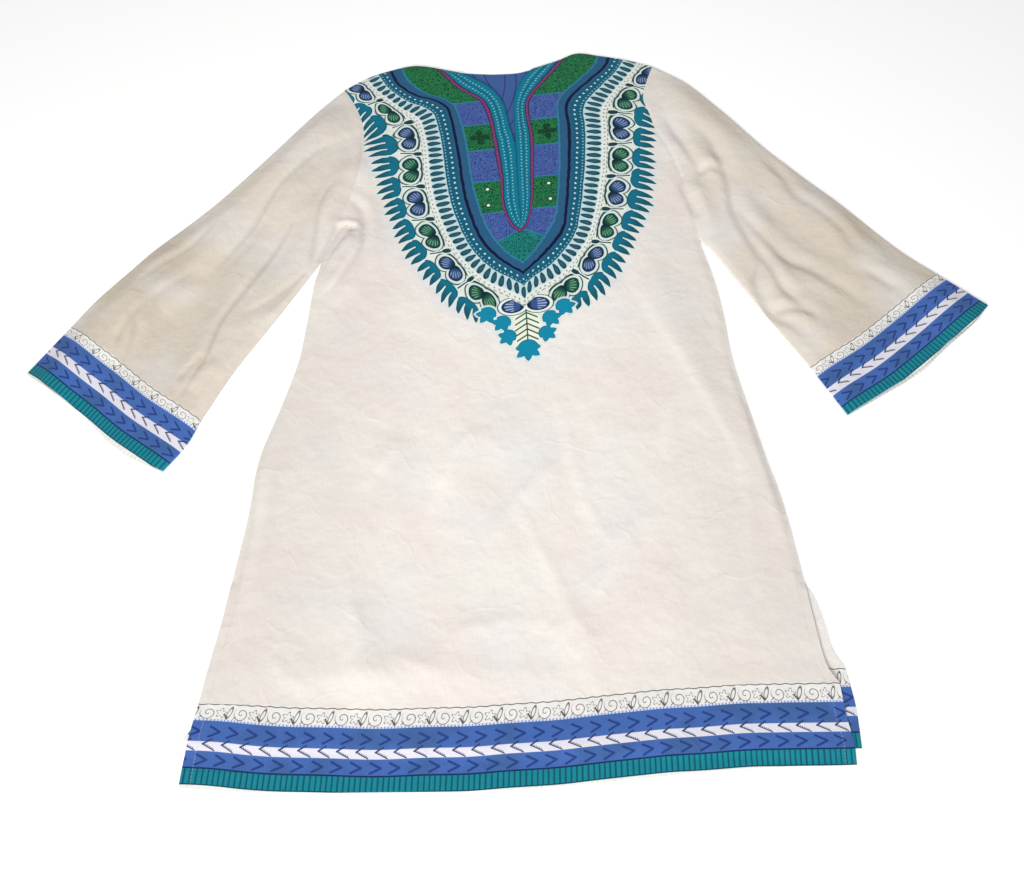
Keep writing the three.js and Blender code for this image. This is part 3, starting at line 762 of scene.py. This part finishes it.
def tube(name, node, grid, heights, peek, attribute):
    """A flattened tube of cloth through the grid's rows, open at both ends. peek moves its lower layer."""
    sections, columns = heights.shape
    keep = np.unique(np.linspace(0, columns - 1, UNDER_COLUMNS + 1).round().astype(int))[-2:0:-1]
    inner_grid, inner_heights = grid.copy(), np.maximum(heights - CLOTH, CLOTH + INNER_GAP)
    inner_heights[:, [0, -1]] = FOLD_EDGE
    for end, beside in ((0, 1), (-1, -2)):
        inner_grid[:, end] += CLOTH * unit(grid[:, beside] - grid[:, end])
    lower = (grid + peek)[:, keep]
    skins = []
    for plan_grid, top, low in ((grid, heights, 0), (inner_grid, inner_heights, CLOTH)):
        lower_skin = np.dstack([lower, np.full(lower.shape[:2], low)])
        skins.append(np.hstack([np.dstack([plan_grid, top]), lower_skin]))
    corners = np.array(skins).reshape(-1, 3)
    half = len(corners) // 2
    ids = np.arange(half).reshape(sections, -1)
    ring = np.hstack([ids, ids[:, :1]])
    sign = area_sign(grid)
    faces = sheet_faces(ring, sign).tolist() + (sheet_faces(ring, -sign) + half).tolist()
    for row, turn in ((0, sign), (-1, -sign)):
        faces += sheet_faces(np.stack([ring[row] + half, ring[row]]), turn).tolist()
    labels = np.hstack([attribute, attribute[:, keep]]).reshape(-1, 3)
    # painted shade along the creases, on the upper layer only
    marks = painted_crease_shading(corners[:half, :2]) * (corners[:half, 2] > CLOTH)
    values = {
        "plan": np.column_stack([corners[:, :2], np.repeat([0.0, 1.0], half)]),
        "band": np.vstack([labels, labels]),
        "crease": np.tile(marks[:, None] * (1, 0, 0), (2, 1)),
    }
    return new_piece(name, node, corners, faces, values)


def make_sleeve(side, word):
    shape = SLEEVE[side]
    seam = shape["border_seam"]
    grid = sleeve_grid(ARMHOLE[side][::-1], seam, shape["over"], shape["under"], SLEEVE_SECTIONS)
    fade = smoothstep(np.linspace(0, 1, SLEEVE_SECTIONS + 1), 0, PUFF_START)[:, None]
    heights = sleeve_heights(grid, fade * shape["puff"])
    dip = groove(grid.reshape(-1, 2), ARMHOLE[side]).reshape(heights.shape)
    heights = np.maximum(heights - dip, FOLD_EDGE)
    grain = run_along(grid, 0)[..., None] * (0, 1, 0)
    cuff = sleeve_grid(seam, shape["cuff_edge"], shape["cuff_over"], shape["cuff_under"], CUFF_SECTIONS)
    cuff_heights = sleeve_heights(cuff, shape["puff"])
    bulge = shape["peek"] * np.sin(math.pi * crowded())[:, None]
    growth = smoothstep(np.linspace(0, 1, CUFF_SECTIONS + 1), PEEK_START, 1)[:, None, None]
    peek = growth * bulge * unit(cuff[-1] - cuff[-2])
    band = band_attribute(cuff[::-1])[::-1] * (-side, 1, 1)
    return (
        tube(f"sleeve_{word}_cloth", f"sleeve_{word}", grid, heights, 0, grain),
        tube(f"cuff_{word}_border", f"cuff_border_{word}", cuff, cuff_heights, peek, band),
    )


# ---- materials: a small language for numbers worked out by shader nodes ----
SOFT = 0.5  # how far dye bleeds at the edge of a shape, in millimetres


class Field:
    """A number or a vector that shader nodes work out at each point of a surface."""
    tree = None  # the node tree that new fields go into

    def __init__(self, socket):
        self.socket = socket

    def __abs__(self):
        return calc("ABSOLUTE", self)


def add_operator(name, operation):
    setattr(Field, f"__{name}__", lambda first, second: calc(operation, first, second))
    setattr(Field, f"__r{name}__", lambda second, first: calc(operation, first, second))


for word, operation in (("add", "ADD"), ("sub", "SUBTRACT"), ("mul", "MULTIPLY"), ("truediv", "DIVIDE")):
    add_operator(word, operation)


def linear(code):
    """Linear colour of a printed dye given as RRGGBB."""
    shares = [int(code[index:index + 2], 16) / 255 for index in (0, 2, 4)]
    return (*[s / 12.92 if s <= 0.04045 else ((s + 0.055) / 1.055) ** 2.4 for s in shares], 1.0)


def feed(socket, value):
    """Gives a socket a field, a number or the colour of a dye's code."""
    if isinstance(value, Field):
        Field.tree.links.new(value.socket, socket)
    else:
        socket.default_value = linear(value) if isinstance(value, str) else value


def feed_all(node, values):
    for socket, value in values.items():
        feed(node.inputs[socket], value)


def solve(kind, values, output=0, **settings):
    """Adds a shader node, feeds its sockets and gives one of its outputs."""
    node = Field.tree.nodes.new("ShaderNode" + kind)
    for setting, choice in settings.items():
        setattr(node, setting, choice)
    feed_all(node, values)
    return Field(node.outputs[output])


def calc(operation, *values, clamp=False):
    return solve("Math", dict(enumerate(values)), operation=operation, use_clamp=clamp)


def lowest(first, *others):
    for other in others:
        first = calc("MINIMUM", first, other)
    return first


def highest(first, *others):
    for other in others:
        first = calc("MAXIMUM", first, other)
    return first


def centred(value, period):
    """The value's place in its repeat, from minus half a period to plus half."""
    return calc("WRAP", value, period / 2, -period / 2)


def repeat_number(value, period):
    return calc("ROUND", value / period)


def vector(x, y):
    return solve("CombineXYZ", {0: x, 1: y})


def parts(value):
    node = Field.tree.nodes.new("ShaderNodeSeparateXYZ")
    feed(node.inputs[0], value)
    return [Field(socket) for socket in node.outputs]


def distance_to(x, y):
    return solve("VectorMath", {0: vector(x, y)}, "Value", operation="LENGTH")


def attribute(name):
    return solve("Attribute", {}, "Vector", attribute_name=name)


def cloud(place, size, detail=0.0):
    """Smooth random numbers about 0.5, with lumps of the given size in millimetres."""
    return solve("TexNoise", {"Vector": place, "Scale": 1 / size, "Detail": detail}, noise_dimensions="2D")


def ramp(value, low, high):
    """Rises smoothly from 0 to 1 between two values."""
    values = {"Value": value, "From Min": low, "From Max": high}
    return solve("MapRange", values, "Result", interpolation_type="SMOOTHSTEP")


def inside(distance, soft=SOFT):
    """1 where a distance is below 0 and 0 where it is above, with a soft edge."""
    return calc("MULTIPLY_ADD", distance, -1 / soft, 0.5, clamp=True)


def off_band(value, low, high):
    """Distance from a band of values, negative inside it."""
    return abs(value - (low + high) / 2) - (high - low) / 2


def between(value, low, high, soft=SOFT):
    return inside(off_band(value, low, high), soft)


def stripes(value, period, half, soft=SOFT):
    """1 on a stripe of the given half width in the middle of each repeat."""
    return inside(abs(centred(value, period)) - half, soft)


def ellipse(x, y, wide, high):
    """About the distance to an ellipse's edge, negative inside it."""
    return (distance_to(x / wide, y / high) - 1) * min(wide, high)


def turned(x, y, degrees):
    cosine, sine = math.cos(math.radians(degrees)), math.sin(math.radians(degrees))
    return x * cosine + y * sine, y * cosine - x * sine


def stroke(x, y, start, end, wide):
    """Distance to a straight stroke of the given half width between two points."""
    angle = math.degrees(math.atan2(end[1] - start[1], end[0] - start[0]))
    along, aside = turned(x - start[0], y - start[1], angle)
    beyond = along - lowest(highest(along, 0.0), math.dist(start, end))
    return distance_to(beyond, aside) - wide


def paint(under, cover, colour):
    """Lays a colour over another where cover is 1."""
    return solve("Mix", {0: cover, 6: under, 7: colour}, 2, data_type="RGBA")


def dyed(colour, *coats):
    """Lays dyes over a colour. A coat is a distance, negative where the dye lies, the dye and, where it
    isn't the usual one, how far it bleeds."""
    for distance, dye, *soft in coats:
        colour = paint(colour, inside(distance, *soft), dye)
    return colour


def shade_by(colour, factor):
    """Multiplies a colour by a number."""
    return solve("VectorMath", {0: colour, "Scale": factor}, operation="SCALE")


def mottled(colour, place, change, least):
    """Gives a print the small light and dark specks of cloth."""
    return shade_by(colour, cloud(place, 1.1, 1.0) * change + least)


# ---- white cotton ----
BODY_TINTS = ("EDE8E1", "EBE2DB")
SLEEVE_TINTS = ("E1D9CF", "DDD4C7", "DBD1C4", "D0C5B5")  # armhole, two further out, cuff
STAIN_TINT = "E2E1E3"  # the bluish tint of washed-out dye
STAIN_STRENGTH = 0.4
# painted shade towards the side seams: its tint and how strong it is
SIDE_SHADE_TINT = "D3C9BE"
SIDE_SHADE_STRENGTH = 0.36
PAINTED_CREASE_SHADE = 0.17  # painted shade: how much darker the cotton is painted along a sharp crease
STITCH_DARK = 0.14
SLIT_STITCH = 9  # distance of the hem stitching from the edge of a side slit
STITCH_PERIOD = 3.0
THREAD = 0.9  # two threads of the plain weave
WEAVE_HIGH = 0.03
CRUMPLE_HIGH = 0.5
SMALL_WAVE_HIGH = 0.9


def cotton_colour(place, warm, cool):
    """Unprinted cotton, with soft clouds of other tints, slubs along both threads, and painted shade and
    highlight along its creases and ridges.
    """
    x, y, _ = parts(place)
    colour = paint(warm, ramp(cloud(place, 120, 2.0), 0.36, 0.66), cool)
    stains = ramp(cloud(vector(x + 500, y), 90, 1.0), 0.42, 0.8)
    colour = paint(colour, stains * STAIN_STRENGTH, STAIN_TINT)
    slubs = cloud(vector(x * 0.9, y * 0.07), 1.0, 1.0) + cloud(vector(x * 0.07, y * 0.9), 1.0, 1.0)
    # painted shade along sharp creases and painted highlight along ridges, from the crease attribute; the
    # slit stitches are real thread
    crease_shade_and_highlight, slit_gap, _ = parts(attribute("crease"))
    stitches = between(slit_gap, SLIT_STITCH - 0.4, SLIT_STITCH + 0.4) * stripes(y, STITCH_PERIOD, 1.1)
    return shade_by(colour, (slubs * 0.07 + 0.93) * (1 - crease_shade_and_highlight * PAINTED_CREASE_SHADE - stitches * STITCH_DARK))


def cotton_relief(place):
    """Height in millimetres of thin crumple lines, small waves and the plain weave."""
    x, y, _ = parts(place)
    crumple = inside(abs(cloud(place, 70, 2.0) - 0.5), 0.07) * cloud(place, 45)
    turns = 2 * math.pi / THREAD
    weave = calc("SINE", x * turns) * calc("SINE", y * turns)
    return crumple * CRUMPLE_HIGH + cloud(place, 16, 2.0) * SMALL_WAVE_HIGH + weave * WEAVE_HIGH


def new_material(name):
    material = bpy.data.materials.new(name)
    material.use_nodes = True
    Field.tree = material.node_tree
    return material, material.node_tree.nodes["Principled BSDF"]


def cloth_material(name, roughness, colour_at, *facts):
    """A cotton material. colour_at gives its colour and what lies on the cotton's own relief."""
    material, shader = new_material(name)
    place = attribute("plan")
    colour, ribs = colour_at(place, *facts)
    relief = {"Height": cotton_relief(place) + ribs, "Distance": MILLIMETRE}
    feed_all(shader, {
        "Base Color": colour,
        "Normal": solve("Bump", relief, "Normal"),
        "Roughness": roughness,
        "Sheen Weight": 0.04,
        "Sheen Roughness": 0.5,
        "Specular IOR Level": 0.1,
    })
    return material


def body_colour(place):
    """The body's cotton, with painted shade that darkens and warms it a little from its middle to its side
    seams.
    """
    x, _, _ = parts(place)
    return paint(cotton_colour(place, *BODY_TINTS), ramp(abs(x), 70, 250) * SIDE_SHADE_STRENGTH, SIDE_SHADE_TINT), 0


def sleeve_colour(place):
    """Sleeve cotton is as light as the body at the armhole and yellower towards the cuff."""
    top, warm, cool, low = SLEEVE_TINTS
    _, length, _ = parts(attribute("band"))
    near, far = ramp(length, 0, 110), ramp(length, 160, 400)
    warm, cool = (paint(paint(top, near, tint), far, low) for tint in (warm, cool))
    return cotton_colour(place, warm, cool), 0


# ---- the print round the neck ----
DEEP_TEAL = "0C5C74"
PALE = "D3E6E4"
IVORY = "E0E6DA"
NIGHT = "0B1338"
STEEL = "295B80"
HAND_PERIOD = 36
FINGER_PERIOD = 11.6
LEAF_PERIOD = 57
BLOCK_LEVELS = (285, 233, 179, 133, 90)  # down, where one block ends and the next begins
BLOCK_EDGE = -12  # place of the blocks' outer edge across the bands
BLOCK_TILT = 0.14  # how the levels slope from the left side down to the right
TIP_LEAVES = [  # distance from the middle line, down, radius and way that the teeth point, in degrees
    (45, 437, 10.5, 38),
    (28, 451, 10, 42),
    (22, 471, 9.5, 50),
]


def hands(colour, along, out):
    """The fringe: rounded palms, each with three curved and pointed fingers that reach outward."""
    x, y = centred(along + HAND_PERIOD / 2, HAND_PERIOD), out - 75.5
    bent = x + y * abs(y) * 0.006
    reach = 34 - abs(repeat_number(bent, FINGER_PERIOD)) * 2.5
    share = y / reach
    narrow = abs(centred(bent, FINGER_PERIOD)) - (1 - share * share * share * share) * 4.9
    fingers = highest(narrow, 8 - y, abs(bent) - FINGER_PERIOD * 1.49, (y - reach) * 0.5)
    palm = highest(ellipse(x, y - 11, 17, 11), y - 11)
    hand = highest(lowest(fingers, palm), 70 - along)
    inner = paint("0A6E88", ramp(y, 8, 24), "175666")
    return dyed(colour, (hand - 1.9, PALE, 1.8), (hand, "0D3F50"), (hand + 1.0, inner, 0.9))


def leaf_pair(colour, x, y, blue, present):
    """Two lobes that fan out from an apex, outlined in white, with light ribs near their ends."""
    a, b = turned(y, abs(x), 51)
    egg = ellipse(b * (1.22 - a * 0.018), a - 12.0, 9.8, 11.8)
    egg = highest(egg, 20 - present * 60)
    ribs = stripes(b / (a + 5), 0.17, 0.028, 0.03) * between(a, 10, 19, 3.0)
    colour = dyed(
        colour,
        (abs(egg - 3.6) - 0.8, "2F5A5C"),
        (highest(abs(egg - 4.8) - 1.3, y + 1 + present), "1F4A46"),
        (egg - 1.9, "D2E3E2"),
        (egg, paint("0C3834", blue, "142A4C")),
        (egg + 2.6, paint("1F5B46", blue, "345280"), 2.4),
    )
    colour = paint(colour, ribs * inside(egg + 2.4), paint("79B08C", blue, "93A9C8"))
    return paint(colour, inside(a - 6, 5.0) * inside(egg), "0C2A34")


def leaf_band(colour, along, out):
    number = repeat_number(along, LEAF_PERIOD)
    colour = dyed(colour, (out - 76, IVORY, 1.2))
    blue, present = 1 - abs(centred(number, 2)), calc("GREATER_THAN", number, 0.5)
    colour = leaf_pair(colour, centred(along, LEAF_PERIOD), out - 53.5, blue, present)
    slant = centred(along + LEAF_PERIOD / 2, LEAF_PERIOD) - (out - 60) * 0.2
    stem = lowest(highest(abs(slant) - 1.0, abs(out - 61) - 14), ellipse(slant, out - 51, 3.6, 7.0))
    stem = highest(stem, 42 - along)
    return dyed(colour, (stem - 1.5, "E6EFEA"), (stem, "173F45"))


def drop_band(colour, along, far_along, out):
    dots = ellipse(centred(far_along, 7), out - 41.5, 1.2, 1.2)
    dashes = highest(abs(centred(far_along, 8)) - 2.4, abs(out - 45) - 0.7)
    x, y = centred(along, 10.3), out - 19.4
    drop = ellipse(x * (1.22 - y * 0.02), y - 8.9, 3.7, 9.4)
    return dyed(
        colour,
        (out - 46, "E4E8E2", 1.0),
        (lowest(dots, dashes), "8A9A92"),
        (out - 37.5, "BFDADD", 1.2),
        (drop, "123E4E"),
        (drop + 1.3, "265A69", 1.0),
    )


def dot_band(colour, along, far_along, out):
    small = ellipse(centred(far_along, 5.4), out - 14.8, 0.95, 0.95)
    large = ellipse(centred(along, 8.6), out - 7.8, 1.4, 1.4)
    return dyed(
        colour,
        (out - 18, "125C77", 0.8),
        (out - 3, STEEL, 2.0),
        (small, "96C8D0"),
        (large, "CFE6E8"),
    )


def blocks(colour, place, aside, out):
    """Green and violet blocks of worm-like lines between the dark line and the pink one."""
    _, up, _ = parts(place)
    level = LENGTH / 2 - up + aside * BLOCK_TILT
    foot = level - abs(aside) * 0.55 - 315  # the lowest block's edge rises to the pink line
    second, third, fourth, fifth, sixth = BLOCK_LEVELS
    low = inside(0 - foot)
    green = highest(low, between(level, third, second), between(level, fifth, fourth), inside(level - sixth))
    worms = stripes(cloud(place, 5.6) * 3.0, 1.0, 0.18, 0.2)
    leafy = paint(paint("267A49", worms, "0B3A2A"), low, paint("1C8078", worms, "0C4A4C"))
    block = paint(paint("4C64A6", worms, "28407F"), green, leafy)
    colour = dyed(colour, (out + 3.5, STEEL, 0.8), (out - BLOCK_EDGE, block, 0.8))
    x, y = level - (fourth + fifth) / 2, abs(aside) - 45
    petals = distance_to(x, y) - abs(calc("COSINE", calc("ARCTAN2", x, y) * 2)) * 9 - 4.5
    colour = paint(colour, inside(petals, 1.0) * 0.7, "06241A")
    dots = ellipse(abs(level - (second + third) / 2) - 13, abs(aside) - 39, 2.0, 2.0)
    rungs = lowest(abs(foot), *[abs(level - edge) for edge in BLOCK_LEVELS])
    lines = lowest(abs(out - BLOCK_EDGE) - 0.9, highest(rungs - 0.9, out - BLOCK_EDGE))
    return dyed(colour, (dots - 1.2, "0D3B26"), (dots, "EDF3E6"), (lines, "2F7C9C"))


def neck_strip(colour, along, out):
    x = centred(along, 5.4)
    dots = lowest(ellipse(x, out + 51, 0.95, 0.95), ellipse(x, out + 57.5, 0.95, 0.95))
    return dyed(
        colour,
        (out + 41.6, "2A2148", 0.8),
        (out + 42.6, paint("99406F", stripes(along, 4.6, 1.1) * 0.6, "33265A"), 0.8),
        (out + 45.4, "1B2A55", 0.8),
        (out + 46.8, "097690", 0.8),
        (abs(out + 54.2) - 0.4, "0B5570"),
        (dots, "8FCBD3"),
        (out + 62.6, "0B6580"),
    )


def star_leaf(x, y, radius, teeth):
    """A round leaf whose outer side, towards +y, is cut into pointed teeth."""
    gap = abs(centred(calc("ARCTAN2", x, y), 2 * math.pi / teeth)) * (teeth / math.pi)
    front = ramp(y, -0.5 * radius, 0.1 * radius)
    return distance_to(x, y) - radius * (1 + front * (0.32 - gap * 0.5))


def bow(colour, u, rise):
    """The blue bow of two ribbed lobes at the print's tip."""
    lobe = ellipse(u - 15, rise, 13.5, 9.5)
    ribs = stripes(rise / (u + 6), 0.15, 0.03, 0.03) * between(u, 14, 25, 1.5)
    colour = dyed(
        colour,
        (lobe - 3.6, "1D4A4C"),
        (lobe - 2.6, "E6EFEA"),
        (lobe, "142A4C"),
        (lobe + 2.2, "36558A", 2.0),
    )
    colour = paint(colour, ribs * inside(lobe + 2.2), "A8B8D6")
    return paint(colour, inside(u - 6, 4.0) * inside(lobe), "0C1F3A")


def tip_group(colour, place, aside):
    """A bow, a feather and leaves at the print's lowest point."""
    _, up, _ = parts(place)
    u, down = abs(aside), LENGTH / 2 - up + aside * 0.13
    leaves = star_leaf(aside, down - 490, 12.5, 7)
    for across, level, radius, way in TIP_LEAVES:
        y, x = turned(down - level, u - across, way)
        leaves = lowest(leaves, star_leaf(x, y, radius, 6))
    feather = highest(u - 14.5 + abs(down - 462) * 0.12, 437 - down, down - 482)
    barbs = lowest(abs(centred(down - u * 0.62, 7.6)) - 1.1, u - 0.8)
    colour = dyed(
        colour,
        (leaves - 2.5, PALE, 2.0),
        (feather - 1.5, "E8EFDC", 1.2),
        (highest(feather, barbs), "2C4F3A"),
    )
    return dyed(bow(colour, u, 430 - down), (leaves, DEEP_TEAL), (leaves + 0.9, "0E86A6", 0.8))


def yoke_colour(place):
    """The body's cotton with the print's bands, laid on from the fringe inwards."""
    out, aside, strip_run = parts(attribute("yoke"))
    large_run, small_run, drop_run = parts(attribute("near_runs"))
    dash_run, leaf_run, hand_run = parts(attribute("far_runs"))
    shaken = cloud(place, 13, 1.0) - 0.5
    shift = shaken * 2.0
    out = out + (cloud(vector(shaken, leaf_run * 0.08), 1.0) - 0.5) * 1.6
    bleed = inside(out - 108, 30) * ramp(cloud(place, 60), 0.45, 0.7)
    colour = paint(body_colour(place)[0], bleed * 0.6, "CDDAE8")
    colour = hands(colour, hand_run + shift, out)
    start = calc("GREATER_THAN", aside, 0.0) * 6 + 7
    colour = leaf_band(colour, leaf_run * 1.02 + shift - start, out)
    colour = tip_group(colour, place, aside)
    colour = drop_band(colour, drop_run + shift, dash_run + shift, out)
    colour = dot_band(colour, large_run + shift, small_run + shift, out)
    colour = blocks(dyed(colour, (out, NIGHT, 0.8)), place, aside, out)
    return mottled(neck_strip(colour, strip_run + shift, out), place, 0.22, 0.9), 0


# ---- the printed borders ----
HEM_ROWS = (16.5, 36.0, 44.0, 58.5, 72.6)  # feet of the scroll, blue, white, blue and teal rows
CUFF_ROWS = (12.4, 31.6, 41.8, 57.6, 70.8)
SCROLL_PERIOD = 31
END_STITCH = 289  # distance of the slit's hem stitching from the middle of a hem border
ARROW_PERIOD = 17.3
TICK_PERIOD = 5.0


def scroll(along, rise):
    """Distance to the thin lines of one repeat: a wide spiral, a star, a stroke and a leaf."""
    x = centred(along, SCROLL_PERIOD)
    radius = distance_to(x + 8.0, rise)
    turn = calc("ARCTAN2", rise, x + 8.0)
    spiral = highest(abs(centred(radius - turn * (4.8 / (2 * math.pi)), 4.8)), radius - 6.9)
    link = stroke(x, rise, (-15.4, 5.6), (-13.0, 3.4), 0.0)
    turn = calc("ARCTAN2", rise - 0.2, x - 3.4)
    star = abs(distance_to(x - 3.4, rise - 0.2) - calc("COSINE", turn * 5 + 0.6) * 1.3 - 3.7)
    foot = stroke(x, rise, (6.8, 1.2), (9.6, 5.6), 0.45)
    a, b = turned(x - 11.6, rise + 0.4, -72)
    return lowest(spiral, link, star, foot, abs(ellipse(a, b, 5.4, 1.7))) - 0.36


def arrows(along, rise):
    return stroke(centred(along, ARROW_PERIOD), abs(rise), (4.6, 0.0), (-4.6, 4.4), 1.0)


def open_arrows(along, rise):
    x = centred(along, ARROW_PERIOD)
    lower = stroke(x, rise, (-5.0, 0.0), (6.0, 5.2), 0.55)
    hatch = highest(stroke(x, rise, (-4.0, -0.6), (5.0, 3.6), 0.5), abs(centred(x, 1.6)) - 0.4)
    return lowest(lower, hatch, stroke(x, rise, (-5.0, 0.0), (1.8, -4.2), 0.75))


def border_rows(along, down, rows):
    """The print's rows from the seam to the edge, and a dark line along the seam itself, partly painted shade
    of its fold.
    """
    first, second, third, fourth, fifth = rows
    along = along + (cloud(vector(along, 0.0), 24) - 0.5) * 2.4
    down = down + (cloud(vector(along, 9.0), 60) - 0.5) * 2.4
    blue = paint("4568AE", ramp(cloud(vector(along, down + 300), 34, 1.0), 0.45, 0.72), "41629A")
    marks = lowest(
        arrows(along, down - (first + 2 + second) / 2), arrows(along + 7, down - (third + fourth) / 2 - 0.3),
    )
    scroll_rise = (down - (2.4 + first) / 2) * (15.2 / (first - 1.2))
    colour = dyed(
        "E9E7E3",
        # a dark wavy line along the seam: the seam itself, with painted shade of its fold
        (abs(down - 0.9 - calc("SINE", along * 0.55) * 0.35) - 0.45, "5A4C4C"),
        (scroll(along, scroll_rise), "5E5859"),
        (first - down, blue),
        (marks, "274080", 0.8),
        (off_band(down, first - 0.6, first + 1.2), paint("7F93C4", stripes(along, 3.2, 1.0), "D5DBEC")),
        (off_band(down, second, third), "DEDCE6"),
        (open_arrows(along + 3, down - second - 2.2), "343F68"),
        (fourth - down, paint("1A8492", stripes(along, TICK_PERIOD, 0.75, 0.9) * 0.92, "0C4A64")),
        (off_band(down, fourth - 0.7, fourth + 0.7), "17305F"),
    )
    thread = between(abs(along), END_STITCH - 0.5, END_STITCH + 0.5) * stripes(down, STITCH_PERIOD, 1.0)
    colour = paint(colour, thread * 0.24, "B9C0D6")
    return dyed(colour, (off_band(down, fifth - 0.8, fifth + 0.3), "0B3F52"), (fifth + 0.3 - down, "EDEFEA"))


def border_colour(place, rows, rise):
    """A border's print, raised at the hem's right end by the given rise, and pale on its inner side."""
    _, _, reverse = parts(place)
    along, down, _ = parts(attribute("band"))
    raised = ramp(0 - along, 225, 300) * ramp(down, 0, rows[0]) * rise
    colour = mottled(border_rows(along, down + raised, rows), place, 0.2, 0.9)
    ribs = abs(centred(along, TICK_PERIOD)) * inside(rows[3] - down) * 0.12
    return paint(colour, reverse * 0.8, "E8E9E4"), ribs


def back_colour(place):
    """The back panel's cotton, printed round its neck too."""
    x, y, _ = parts(place)
    down = LENGTH / 2 - y
    aside = x - ((down - 40) * 0.2 - 31)
    ring = distance_to(aside / 150, (down - 30) / 260)
    turn = calc("ARCTAN2", aside, down - 30)
    colour = dyed(
        cotton_colour(place, *BODY_TINTS),
        (ring - 1.0 - abs(centred(turn, 0.12)), "2A8298", 0.02),
        (ring - 0.93, "D8E6E4", 0.01),
        (highest(abs(centred(turn, 0.09)) - 0.024, abs(ring - 0.85) - 0.06), "2A6A7A", 0.01),
        (ring - 0.76, "2A7F96", 0.01),
        (ring - 0.66, "16254A", 0.01),
        (ring - 0.63, "40609A", 0.01),
    )
    bowl = abs(aside) + (down - 25) * (down - 25) * 0.0034
    lines = stripes(bowl, 15, 0.8, 0.9) * inside(ring - 0.6, 0.02)
    return mottled(paint(colour, lines, "2A3E78"), place, 0.22, 0.88), 0


# ---- the dress ----
front = make_front()
back = make_back()
front_border = make_border(
    "front_hem_print", "front_hem_border", FRONT_HEM, FRONT_BORDER_SEAM, FRONT_BORDER_END,
    2 * PANEL_COLUMNS, front_border_height,
)
back_border = make_border(
    "back_hem_print", "back_hem_border", BACK_HEM, BACK_BORDER_SEAM, BACK_BORDER_END,
    2 * BACK_COLUMNS, back_height,
)
sleeve_left, cuff_left = make_sleeve(LEFT, "left")
sleeve_right, cuff_right = make_sleeve(RIGHT, "right")

body_cotton = cloth_material("white_cotton_body", 0.88, body_colour)
yoke = cloth_material("neck_print", 0.86, yoke_colour)
sleeve_cotton = cloth_material("white_cotton_sleeve", 0.88, sleeve_colour)
hem_print = cloth_material("hem_border_print", 0.84, border_colour, HEM_ROWS, 2.5)
cuff_print = cloth_material("cuff_border_print", 0.84, border_colour, CUFF_ROWS, 0.0)
back_cotton = cloth_material("white_cotton_back", 0.88, back_colour)


def print_the_yoke(mesh):
    """Gives the print's own material to the faces that it covers."""
    mesh.materials.append(body_cotton)
    mesh.materials.append(yoke)
    places = np.empty(len(mesh.vertices) * 3, np.float32)
    mesh.attributes["yoke"].data.foreach_get("vector", places)
    printed = places[::3] < PRINT_REACH
    kinds = [int(any(printed[corner] for corner in face.vertices)) for face in mesh.polygons]
    mesh.polygons.foreach_set("material_index", kinds)


print_the_yoke(front.data)
for piece, material in (
    (back, back_cotton), (sleeve_left, sleeve_cotton), (sleeve_right, sleeve_cotton),
    (front_border, hem_print), (back_border, hem_print), (cuff_left, cuff_print), (cuff_right, cuff_print),
):
    piece.data.materials.append(material)


# ---- floor, light and camera, in metres, watts and degrees ----
FLOOR_SIZE = 12
FLOOR_LEVEL = -0.0004
FLOOR_GREY = 0.93
FLOOR_GLOW = 0.17
SKY_STRENGTH = 0.42
LIGHTS = [  # name, place, size, power and colour
    ("key", (-1.1, -3.8, 2.1), 1.0, 168, (1, 0.995, 0.985)),
    ("top", (0, 0.05, 1.2), 0.5, 3.6, (1, 1, 1)),
]
CAMERA_PLACE = (-0.0065, -0.5462, 0.8115)
CAMERA_TILT = 26.81  # from straight down
SENSOR = 36  # millimetres
FOCAL_SHARE = 850 / 1024  # of the picture's width


def make_floor():
    bpy.ops.mesh.primitive_plane_add(size=FLOOR_SIZE, location=(0, 0, FLOOR_LEVEL))
    floor = bpy.context.object
    floor.name = "studio_floor"
    material, shader = new_material("studio_floor")
    feed_all(shader, {
        "Base Color": (FLOOR_GREY, FLOOR_GREY, FLOOR_GREY, 1),
        "Emission Color": (1, 1, 1, 1),
        "Emission Strength": FLOOR_GLOW,
        "Roughness": 0.9,
    })
    floor.data.materials.append(material)


def area_light(name, place, size, watts, colour):
    """A square light that points at the middle of the dress."""
    light = bpy.data.lights.new(name, "AREA")
    light.size = size
    light.energy = watts
    light.color = colour
    holder = bpy.data.objects.new(name, light)
    holder.location = place
    holder.rotation_euler = (-Vector(place)).to_track_quat("-Z", "Y").to_euler()
    bpy.context.scene.collection.objects.link(holder)


def make_world():
    world = bpy.data.worlds.new("studio")
    world.use_nodes = True
    feed_all(world.node_tree.nodes["Background"], {"Color": (1, 1, 1, 1), "Strength": SKY_STRENGTH})
    bpy.context.scene.world = world


def make_camera():
    data = bpy.data.cameras.new("camera")
    data.sensor_width = SENSOR
    data.lens = FOCAL_SHARE * SENSOR
    camera = bpy.data.objects.new("camera", data)
    camera.location = CAMERA_PLACE
    camera.rotation_euler = (math.radians(CAMERA_TILT), 0, 0)
    bpy.context.scene.collection.objects.link(camera)
    bpy.context.scene.camera = camera


make_floor()
make_world()
for row in LIGHTS:
    area_light(*row)
make_camera()
bpy.context.scene.view_settings.view_transform = "Standard"
